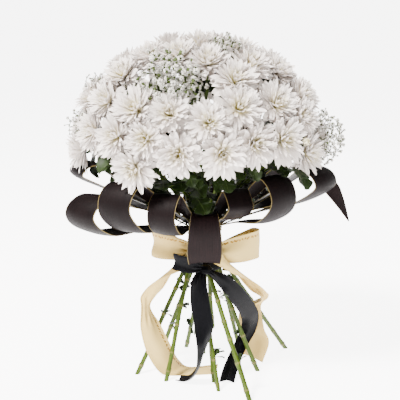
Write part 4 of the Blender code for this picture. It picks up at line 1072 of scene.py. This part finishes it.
def add_ribbon(fabric, rows, width):
    """A run of ribbon through its rows, rippled or pleated where it is drawn narrow.

    The waves across it are as deep as its width needs, so its cloth keeps one width.
    """
    rows = smooth_rows(rows, RIBBON_STEPS)
    share = np.clip(rows[:, 6:], 0.2, 1)
    centre, half, face, length = strip(rows, share * width)
    a = np.linspace(-1, 1, RIBBON_COLUMNS)
    tight = np.clip((0.85 - share) / 0.45, 0, 1)
    swing = 0.6 * np.sin(length * 55)[:, None]
    folds = (1 - tight) * np.cos(3.3 * a + swing) + tight * np.cos(11.0 * a)
    slope = np.gradient(folds, axis=1) * (RIBBON_COLUMNS - 1) / 2
    size = np.sqrt((1.0 - share ** 2) / (slope ** 2).mean(axis=1, keepdims=True))
    fold = np.clip(size, 0.02, 0.30) * folds * width / 2 * (0.45 + 0.55 * tight)
    grid = centre[:, None] + half[:, None] * a[:, None] + face[:, None] * fold[..., None]
    add_plate(fabric, grid, RIBBON_THICKNESS, 0, length, a)
    return length[-1]


def add_band(fabric, levels):
    """The turns of a ribbon round the stems, with a soft crease between two turns."""
    wide = np.linspace(*levels, 9)
    rows = hull_rows(wide, 1.5 * MM)
    middle = rows.mean(axis=(0, 1))
    rows = np.concatenate((rows, rows[:, :1]), axis=1)
    out = units((rows - middle) * (1, 1, 0))
    swell = np.sin(np.linspace(0, 2 * np.pi, len(wide)))[:, None, None] * 0.35 * MM
    grid = (rows + out * swell).transpose(1, 0, 2)
    length = lengths(grid[:, 0])
    add_plate(fabric, grid, RIBBON_THICKNESS, 0, length, np.linspace(-1, 1, len(wide)))
    return length[-1]


def add_knot(fabric, centre, size):
    """The crossing of the ribbon over itself: a small gathered pad with folds."""
    turns, rings = 28, 14
    theta = np.linspace(0.12, np.pi - 0.12, rings)[:, None]
    phi = (2 * np.pi * np.arange(turns) / turns)[None]
    folds = 1 + 0.10 * np.cos(theta * 9 + np.sin(phi))
    x = np.sin(theta) * np.cos(phi) * folds
    y = np.sin(theta) * np.sin(phi) * folds
    z = np.cos(theta) + 0 * phi
    shape = np.stack((x * size[0], y * size[1], z * size[2]), axis=-1)
    shape[..., 1] += KNOT_LEAN * shape[..., 2]
    points = (shape + np.array(centre)).reshape(-1, 3)
    body = np.vstack((points, points[:turns].mean(0), points[-turns:].mean(0)))
    fabric.add(body, tube_faces(rings, turns)[0][:, ::-1], {
        "along": np.append(np.repeat(theta[:, 0], turns) * size[2], (0, 0)),
        "across": np.append(np.tile(np.cos(phi[0]) * 0.7, rings), (0, 0)),
    })


# Sizes and colours that can be changed

def tint(name, description, default):
    """A colour that the panel shows."""
    return FloatVectorProperty(name=name, description=description, default=default,
                               subtype="COLOR", min=0, max=1)


class PetalSettings(bpy.types.PropertyGroup):
    petals: IntProperty(name="Petals", description="Petals of one bloom", default=125,
                        min=20, max=160)
    foot: tint("Foot", "Colour at the foot of the petals", (0.66, 0.585, 0.16))
    blade: tint("Blade", "Colour of the petals", (0.72, 0.655, 0.61))


class GreenSettings(bpy.types.PropertyGroup):
    leaves: IntProperty(name="Leaves", description="Green leaves of one outer spray", default=30,
                        min=0, max=40)
    length: FloatProperty(name="Leaf length", description="Length of a green leaf",
                          subtype="DISTANCE", unit="LENGTH", default=0.046, min=0.01, max=0.1)
    leaf: tint("Leaf", "Colour of the green leaves", (0.0046, 0.0098, 0.0010))
    stem: tint("Stem", "Colour of the stems", (0.042, 0.068, 0.0040))


class GypsophilaSettings(bpy.types.PropertyGroup):
    share: FloatProperty(name="Florets", description="Share of each spray's florets that is made",
                         default=1.0, min=0.1, max=1.5)
    size: FloatProperty(name="Floret size", description="How large the florets are, against life",
                        default=1.0, min=0.5, max=1.5)
    petal: tint("Petal", "Colour of the florets", (0.68, 0.65, 0.57))


class DarkLeafSettings(bpy.types.PropertyGroup):
    blade: tint("Blade", "Colour of the dark leaves", (0.0014, 0.0006, 0.0007))
    streak: tint("Streak", "Colour of their fine veins", (0.0085, 0.0042, 0.0044))
    edge: tint("Edge", "Colour of their thin edge", (0.10, 0.075, 0.03))


class RibbonSettings(bpy.types.PropertyGroup):
    cream: tint("Cream", "Colour of the wide ribbon", (0.50, 0.36, 0.118))
    black: tint("Black", "Colour of the narrow ribbon", (0.0014, 0.0014, 0.0020))
    gold: tint("Gold", "Colour of the printed dashes", (0.20, 0.10, 0.012))


# Operators

BLOOM_SEED, STEM_SEED, GYPSOPHILA_SEED, DARK_LEAF_SEED = 300, 700, 40, 900
FLOOR_REACH = 240.0
PAPER_COLOUR = (0.62, 0.615, 0.62)
PAPER_GLOW_COLOUR = (1.0, 0.99, 0.99)
PAPER_GLOW = 6.6
WORLD_COLOUR = (1.0, 0.965, 0.93, 1)
WORLD_STRENGTH = 0.5
LAMP_COLOUR = (1.0, 0.975, 0.945)
LAMPS = (  # name, place, size and power
    ("key", (-1.2, -1.3, 2.3), 0.55, 430.0), ("fill", (1.8, -1.2, 0.9), 1.6, 8.0),
    ("back", (0.5, 1.3, 1.7), 1.2, 60.0),
)
LAMP_TARGET = Vector((0, 0, 0.25))
CAMERA_TARGET = Vector((-0.0112, 0.0, 0.235))
CAMERA_TILT = math.radians(11)
CAMERA_DISTANCE = 1.40
CAMERA_LENS = 94.5
CAMERA_SENSOR = 36.0


class BUNCH_OT_stage(bpy.types.Operator):
    """Floor, lights and camera"""
    bl_idname = "bunch.stage"
    bl_label = "Stage"

    def execute(self, context):
        scene = context.scene
        work = bpy.data.meshes.new("floor")
        corners = [(x * FLOOR_REACH, y * FLOOR_REACH, 0)
                   for x, y in ((-1, -1), (1, -1), (1, 1), (-1, 1))]
        work.from_pydata(corners, [], [(0, 1, 2, 3)])
        floor = bpy.data.objects.new("floor", work)
        scene.collection.objects.link(floor)
        paper = Finish("white paper", 0.85, Emission_Strength=PAPER_GLOW)
        paper.colour(PAPER_COLOUR)
        paper.plug(PAPER_GLOW_COLOUR, paper.shader.inputs["Emission Color"])
        work.materials.append(paper.material)

        scene.world = bpy.data.worlds.new("studio")
        scene.world.use_nodes = True
        back = scene.world.node_tree.nodes["Background"]
        back.inputs["Color"].default_value = WORLD_COLOUR
        back.inputs["Strength"].default_value = WORLD_STRENGTH
        for name, place, size, power in LAMPS:
            lamp = bpy.data.lights.new(name, "AREA")
            lamp.size, lamp.energy, lamp.color = size, power, LAMP_COLOUR
            self.hold(scene, lamp, Vector(place), LAMP_TARGET)

        lens = bpy.data.cameras.new("camera")
        lens.lens, lens.sensor_width = CAMERA_LENS, CAMERA_SENSOR
        lens.clip_end = 2 * FLOOR_REACH
        way = Vector((0, -math.cos(CAMERA_TILT), math.sin(CAMERA_TILT)))
        scene.camera = self.hold(scene, lens, CAMERA_TARGET + way * CAMERA_DISTANCE,
                                 CAMERA_TARGET)
        return {"FINISHED"}

    def hold(self, scene, data, place, target):
        """Puts a lamp or a camera at its place and aims it."""
        held = bpy.data.objects.new(data.name, data)
        held.location = place
        held.rotation_euler = (target - place).to_track_quat("-Z", "Y").to_euler()
        scene.collection.objects.link(held)
        return held


class BUNCH_OT_blooms(bpy.types.Operator):
    """Chrysanthemum blooms, spray by spray"""
    bl_idname = "bunch.blooms"
    bl_label = "Blooms"

    def execute(self, context):
        settings = context.scene.bunch_petals
        white = petal_finish("petal white", settings.foot, settings.blade)
        for number in LAYOUT.sprays:
            fabric = Fabric()
            for bloom, owner in enumerate(LAYOUT.owners):
                if owner == number:
                    rng = np.random.default_rng(BLOOM_SEED + bloom)
                    add_petals(fabric, LAYOUT.hearts[bloom], LAYOUT.outward[bloom],
                               LAYOUT.sizes[bloom], settings.petals + rng.integers(-8, 9),
                               bloom_walls(bloom), rng, bloom_options(rng))
            name = f"spray_{number + 1:02d}_blooms"
            place_piece(f"blooms_{number + 1:02d}", fabric, [white], name)
        return {"FINISHED"}


class BUNCH_OT_stems(bpy.types.Operator):
    """Stems with their knots and shoots, stalks, calyxes, the bud and the lobed leaves"""
    bl_idname = "bunch.stems"
    bl_label = "Stems and leaves"

    def stem(self, fabric, number, rng):
        """The main stem: knots with small swellings every few centimetres."""
        line = LAYOUT.stems[number]
        rows = smooth_rows(np.column_stack((line.points, line.radii)), 22)
        points, radii = rows[:, :3], rows[:, 3]
        length = lengths(points)
        knots = np.zeros(len(points))
        where = rng.uniform(0.008, 0.02)
        places = []
        while where < length[-1]:
            places.append(where)
            knots += np.exp(-((length - where) / KNOT_LENGTH) ** 2)
            where += rng.uniform(0.024, 0.042)
        wobble = unit(rng.normal(size=3)) * 0.4 * MM
        points = points + np.sin(length * 60 + rng.uniform(0, 6))[:, None] * wobble
        radii = radii * (0.94 + 0.24 * np.clip(knots, 0, 1))
        height = (OUTER_STEMS + INNER_STEMS)[number][2]
        way = unit(points[0] - points[3])
        cut = UP if height == 0 else unit(way + np.array((0.7, 0, 0)))
        sweep(fabric, points, radii, 12, BARK, np.clip(knots, 0, 1), (1.0, 0.0), cut)
        for place in places:
            if place > SHOOTS_BELOW:
                break
            self.shoot(fabric, points, length, radii, place, rng)

    def shoot(self, fabric, points, length, radii, place, rng):
        """What is left of a side shoot: a stub, sometimes with a few tiny leaves."""
        k = int(np.searchsorted(length, place))
        way = unit(points[min(k + 1, len(points) - 1)] - points[k - 1])
        side = unit(np.cross(way, rng.normal(size=3)))
        out = unit(side + way * 0.9)
        base = points[k] + side * radii[k] * 0.6
        size = rng.uniform(1.6, 3.2) * MM
        sweep(fabric, [base, base + out * size * 0.6, base + out * size],
              [1.5 * MM, 1.2 * MM, 0.6 * MM], 7, BARK, np.array((0.6, 0.5, 0.8)))
        if rng.uniform() < 0.7 and place > 0.02:
            for _ in range(rng.integers(2, 4)):
                tilt = unit(out + 0.8 * unit(rng.normal(size=3)))
                add_green_leaf(fabric, base + out * size * 0.4, tilt, way + 0.3 * side,
                               rng.uniform(8, 16) * MM, rng, 0.4 * MM, SHOOT_GRID)

    def stalk(self, fabric, bloom, line):
        """A stalk that opens into the calyx under its bloom, or into the bud."""
        steps = 7
        rows = smooth_rows(np.column_stack((line.points, line.radii)), steps)[:3 * steps + 1]
        sweep(fabric, rows[:, :3], np.clip(rows[:, 3], 1.2 * MM, 1.7 * MM), 8)
        way = unit(line.points[4] - line.points[3])
        foot = line.points[3]
        reach = CALYX_HEIGHT + 1.5 * MM
        sweep(fabric, [foot + way * reach * height for height, _ in CALYX_CUP],
              [radius * MM for _, radius in CALYX_CUP], 14, CUP)
        side = unit(np.cross(way, (0.2, 0.5, 0.8)))
        other = np.cross(way, side)
        wide, tall = (5.0, 9.0) if bloom is not None else (5.4, 11.0)
        for ring in range(2):
            for k in range(CALYX_SCALES):
                turn = 2 * np.pi * (k + 0.5 * ring) / CALYX_SCALES
                out = ring_way(side, other, turn)
                root = foot + way * (1.5 + 1.5 * ring) * MM + out * 2.6 * MM
                tip = foot + way * (tall - 2.5 * ring) * MM + out * (wide + 0.7 * ring) * MM
                self.scale(fabric, root, tip, out, way)

    def scale(self, fabric, root, tip, out, way):
        """One small green bract of the calyx."""
        s = np.array((0.0, 0.35, 0.75, 1.0))
        line = root + (tip - root) * s[:, None] + out * (0.9 * MM * np.sin(np.pi * s))[:, None]
        flat = np.cross(way, out)
        width = np.array((0.8, 1.0, 0.7, 0.1)) * 1.6 * MM
        a = np.array((-1.0, 0.0, 1.0))
        grid = (line[:, None] + flat * (width[:, None] * a)[..., None]
                - out * (np.abs(a) * 0.35 * MM)[None, :, None])
        add_plate(fabric, grid, 0.35 * MM, BLADE, s, a)

    def leaves(self, fabric, number, wanted, size, surroundings, rng):
        """Lobed leaves, each tried at several turns until it is clear of the blooms."""
        stem, made = LAYOUT.stems[number], 0
        seats = []
        for _, line in LAYOUT.stalks[number]:
            for share in (0.35, 0.6, 0.85):
                seats.append(line.points[1] + (line.points[3] - line.points[1]) * share)
        for place in np.linspace(3.6, len(stem.points) - 1.2, 9):
            low = int(place)
            step = stem.points[low + 1] - stem.points[low]
            seats.append(stem.points[low] + step * (place - low))
        rim = [seat for seat in seats if seat[2] < LEAF_RIM]
        seats = rim * 5 + seats
        for attempt in range(TRIES_PER_LEAF * wanted):
            if made == wanted:
                break
            seat = seats[rng.integers(len(seats))]
            outward = unit((seat - DOME_CENTRE) * (1, 1, 0) + 1e-6)
            way = unit(1.2 * outward + 0.7 * around(rng.uniform(0, 360))
                       + UP * rng.uniform(-1.1, 0.1))
            length = size * rng.uniform(0.55, 1.25) * (0.55 if seat[2] < TIE_HEIGHT + 0.03 else 1)
            upward = UP + 0.5 * outward + rng.normal(0, 0.2, 3)
            tester = Fabric()
            add_green_leaf(tester, seat, way, upward, length * TRIAL_LENGTH,
                           np.random.default_rng(attempt), TRIAL_THICKNESS)
            points, quads = tester.points[0], tester.quads[0]
            if in_box(points, LEAF_MARGIN) and surroundings.takes(points, quads):
                add_green_leaf(fabric, seat, way, upward, length, np.random.default_rng(attempt))
                made += 1

    def execute(self, context):
        settings = context.scene.bunch_green
        bark = stem_finish("stem green", shaded(settings.stem, 0.55), settings.stem, SCAR, CUT)
        cup = leaf_finish("calyx green", *CALYX)
        blade = leaf_finish("leaf green", settings.leaf, shaded(settings.leaf, 1.9), LEAF_VEIN)
        cream = petal_finish("bud cream", BUD_FOOT, BUD_BLADE)
        names = [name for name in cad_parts
                 if "blooms" in name or "dark" in name or "ribbon" in name]
        surroundings = Surroundings(names)
        for number in LAYOUT.sprays:
            rng = np.random.default_rng(STEM_SEED + number)
            fabric = Fabric()
            self.stem(fabric, number, rng)
            for bloom, line in LAYOUT.stalks[number]:
                self.stalk(fabric, bloom, line)
                if bloom is None:
                    way = unit(line.points[5] - line.points[4])
                    petals = Fabric()
                    add_petals(petals, line.points[4] + way * 2 * MM, way, 15 * MM, 34,
                               np.zeros((0, 4)), rng, BUD_OPTIONS)
                    place_piece("bud_petals", petals, [cream], [])
            wanted = settings.leaves if number < len(OUTER_STEMS) else settings.leaves // 3
            self.leaves(fabric, number, wanted, settings.length, surroundings, rng)
            place_piece(f"stem_{number + 1:02d}", fabric, [bark, cup, blade],
                        f"spray_{number + 1:02d}_stem")
        return {"FINISHED"}


FLORET_RINGS = ((0, 6, 76), (1, 5, 46), (2, 3, 18))  # number, petals and tilt
FLORET_FOOT = (0.40, 0.42, 0.22)
TWIG_COLOURS = (0.022, 0.034, 0.008), (0.050, 0.066, 0.016), (0.16, 0.14, 0.06), (0.3, 0.35, 0.2)
TWIG_REACH = 50 * MM
FLORET_SPACING = 1.75
FLORET_SPREAD = 0.62
FLORET_MARGIN = 3 * MM


class BUNCH_OT_gypsophila(bpy.types.Operator):
    """Gypsophila: fine branching twigs with small double florets"""
    bl_idname = "bunch.gypsophila"
    bl_label = "Gypsophila"

    def floret(self, fabric, place, way, size, rng):
        side = unit(np.cross(way, rng.normal(size=3)))
        other = np.cross(way, side)
        for ring, count, tilt in FLORET_RINGS:
            for k in range(count):
                turn = 2 * np.pi * (k + 0.37 * ring) / count + rng.normal(0, 0.15)
                out = ring_way(side, other, turn)
                lean = math.radians(tilt + rng.normal(0, 8))
                tip = way * math.cos(lean) + out * math.sin(lean)
                flat = np.cross(way, out)
                length = size * (1.0 - 0.12 * ring)
                half = size * 0.34
                root = place + way * 0.15 * size
                middle = root + tip * length * 0.62 + way * 0.12 * size
                points = [root, middle - flat * half, root + tip * length - flat * half * 0.55,
                          root + tip * length + flat * half * 0.55, middle + flat * half,
                          middle - way * 0.12 * size]
                quads = [(0, 1, 5, 5), (1, 2, 3, 5), (5, 3, 4, 4), (0, 5, 4, 4),
                         (0, 4, 1, 1), (1, 4, 3, 2)]
                fabric.add(points, quads, {"along": np.array((0, .5, 1, 1, .5, .5)),
                                           "depth": 1.0, "tone": rng.uniform(0.3, 1)}, FLORET)
        cup = [place + way * share * size for share in (-0.7, -0.2, 0.2)]
        sweep(fabric, cup, [0.25 * size, 0.42 * size, 0.40 * size], 5, TWIG)

    def execute(self, context):
        settings = context.scene.bunch_gypsophila
        # The florets get a small painted glow of their own colour, which lifts their shade.
        white = petal_finish("gypsophila white", FLORET_FOOT, settings.petal, 0.05)
        green = stem_finish("gypsophila green", *TWIG_COLOURS)
        surroundings = Surroundings([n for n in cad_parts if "blooms" in n])
        for number, line in enumerate(LAYOUT.twigs):
            rng = np.random.default_rng(GYPSOPHILA_SEED + number)
            fabric = Fabric()
            rows = smooth_rows(line.points, 6)
            sweep(fabric, rows, np.linspace(1.0, 0.55, len(rows)) * MM, 7, TWIG)
            middle, reach, count, size = GYPSOPHILA[number][3:]
            count, size = round(count * settings.share), size * settings.size * MM
            grown = [rows[-1], rows[-4], rows[-8]]
            flowers = []
            spots = middle + rng.normal(0, FLORET_SPREAD, (count * 10, 3)) * reach
            for spot in spots[np.argsort(np.linalg.norm(spots - rows[-1], axis=1))]:
                here = spot + CENTRING
                if len(flowers) == count:
                    break
                if not in_box(spot, FLORET_MARGIN):
                    continue
                gaps = np.linalg.norm(np.array(flowers).reshape(-1, 3) - spot, axis=1)
                if (gaps < FLORET_SPACING * size).any():
                    continue
                nodes = np.array(grown)
                far = np.linalg.norm(nodes - spot, axis=1)
                root = nodes[far.argmin()]
                if far.min() > TWIG_REACH or self.buried(surroundings, here):
                    continue
                way = unit(spot - root)
                bow = unit(np.cross(way, rng.normal(size=3))) * far.min() * 0.08
                path = bezier(root, root + (spot - root) * 0.35 + bow,
                              spot - (spot - root) * 0.3 + bow, spot, 4)
                sweep(fabric, path, np.linspace(0.46, 0.30, 5) * MM, 4, TWIG)
                self.floret(fabric, spot, way, size * rng.uniform(0.7, 1.12), rng)
                flowers.append(spot)
                grown += [path[2], path[3]]
            place_piece(f"gypsophila_spray_{number + 1}", fabric, [white, green],
                        f"gypsophila_{number + 1}")
        return {"FINISHED"}

    def buried(self, surroundings, here):
        for tree in surroundings.trees:
            near, normal, _, distance = tree.find_nearest(Vector(here), 0.03)
            if near is not None and (Vector(here) - near).dot(normal) < 0 and distance < 0.015:
                return True
        return False


DARK_LEAF_COLUMNS = 15
DARK_LEAF_STEPS = 5


class BUNCH_OT_dark_leaves(bpy.types.Operator):
    """Collar of long dark leaves rolled into loops"""
    bl_idname = "bunch.dark_leaves"
    bl_label = "Dark leaves"

    def execute(self, context):
        settings = context.scene.bunch_dark
        finish = dark_leaf_finish("dark leaf", settings.blade, settings.streak, settings.edge)
        for number, rows in enumerate(LAYOUT.collar):
            rng = np.random.default_rng(DARK_LEAF_SEED + number)
            fabric = Fabric()
            rows = smooth_rows(rows, DARK_LEAF_STEPS)
            centre, half, face, length = strip(rows, rows[:, 6:])
            a = np.linspace(-1, 1, DARK_LEAF_COLUMNS)
            bowl = (0.05 * (a * a)[None] - 0.015) * rows[:, 6:]
            ripple = (0.55 * MM * (np.abs(a) ** 3)[None]
                      * np.sin(length * 85 + rng.uniform(0, 6))[:, None]
                      * (rows[:, 6:] / 0.04))
            grid = (centre[:, None] + half[:, None] * a[None, :, None]
                    + face[:, None] * (bowl + ripple)[..., None])
            add_plate(fabric, grid, DARK_LEAF_THICKNESS, 0, length, a)
            place_piece(f"dark_leaf_blade_{number + 1:02d}", fabric, [finish],
                        f"dark_leaf_{number + 1:02d}")
        return {"FINISHED"}


PLIES = 3
PLY_RADIUS = 0.62 * MM
TWINE_REACH = 18.8 * MM
TWINE_TWISTS = 26


class BUNCH_OT_ribbons(bpy.types.Operator):
    """The cream and the black satin ribbon and the twine under them"""
    bl_idname = "bunch.ribbons"
    bl_label = "Ribbons"

    def execute(self, context):
        settings = context.scene.bunch_ribbons
        cream = satin_finish("cream satin", settings.cream, CREAM_SHADE, 0.36, 0.15, settings.gold)
        black = satin_finish("black satin", settings.black, BLACK_SHADE, 0.34, 0.06)
        for name, node, finish, width, levels, pieces, knot, size in (
                ("cream_satin_ribbon", "cream_ribbon", cream, CREAM_WIDTH, CREAM_LEVELS,
                 CREAM_PIECES, CREAM_KNOT, (8.5, 5.0, 7.5)),
                ("black_satin_ribbon", "black_ribbon", black, BLACK_WIDTH, BLACK_LEVELS,
                 BLACK_PIECES, BLACK_KNOT, (9.0, 5.0, 6.0))):
            fabric = Fabric()
            total = sum(add_ribbon(fabric, rows, width) for rows in pieces)
            total += add_band(fabric, levels)
            add_knot(fabric, knot, np.array(size) * MM)
            piece = place_piece(name, fabric, [finish], node)
        self.twine(context)
        return {"FINISHED"}

    def twine(self, context):
        """Three plies of twine turned round each other, round the stems."""
        fabric = Fabric()
        turn = np.linspace(0, 2 * np.pi, 181)
        for ply in range(PLIES):
            twist = turn * TWINE_TWISTS + ply * 2 * np.pi / PLIES
            out = np.column_stack((np.cos(turn), np.sin(turn), 0 * turn))
            line = (NECK_CENTRE + out * (TWINE_REACH + PLY_RADIUS * np.cos(twist))[:, None]
                    + UP * (PLY_RADIUS * np.sin(twist))[:, None])
            sweep(fabric, line, np.full(len(line), PLY_RADIUS), 6)
        jute = Finish("twine", 0.9)
        body = jute.noise(1500.0)
        jute.colour(jute.mix(body.ramp(0.3, 0.7), (0.30, 0.21, 0.11), (0.52, 0.40, 0.24)))
        jute.bump(body, 0.6, 0.0004)
        place_piece("twine_ring", fabric, [jute.material], "binding_twine")


class BUNCH_PT_panel(bpy.types.Panel):
    """The steps of the bunch and its settings"""
    bl_idname = "BUNCH_PT_panel"
    bl_label = "Bunch of chrysanthemums"
    bl_space_type = "VIEW_3D"
    bl_region_type = "UI"
    bl_category = "Bunch"

    def draw(self, context):
        for operator, settings in STEPS:
            self.layout.operator(operator.bl_idname)
            if settings:
                group = getattr(context.scene, settings)
                for name in group.__annotations__:
                    self.layout.prop(group, name)


SETTINGS = {
    "bunch_petals": PetalSettings, "bunch_green": GreenSettings,
    "bunch_gypsophila": GypsophilaSettings, "bunch_dark": DarkLeafSettings,
    "bunch_ribbons": RibbonSettings,
}
STEPS = (
    (BUNCH_OT_stage, None), (BUNCH_OT_blooms, "bunch_petals"),
    (BUNCH_OT_stems, "bunch_green"), (BUNCH_OT_gypsophila, "bunch_gypsophila"),
    (BUNCH_OT_dark_leaves, "bunch_dark"), (BUNCH_OT_ribbons, "bunch_ribbons"),
)
CLASSES = (*SETTINGS.values(), *(operator for operator, _ in STEPS), BUNCH_PT_panel)


def register():
    for made in CLASSES:
        bpy.utils.register_class(made)
    for name, group in SETTINGS.items():
        setattr(bpy.types.Scene, name, PointerProperty(type=group))


def unregister():
    for name in SETTINGS:
        delattr(bpy.types.Scene, name)
    for made in reversed(CLASSES):
        bpy.utils.unregister_class(made)


def main():
    register()
    bpy.ops.bunch.stage()
    bpy.ops.bunch.blooms()
    bpy.ops.bunch.stems()
    bpy.ops.bunch.gypsophila()
    bpy.ops.bunch.dark_leaves()
    bpy.ops.bunch.ribbons()


if __name__ == "__main__":
    main()
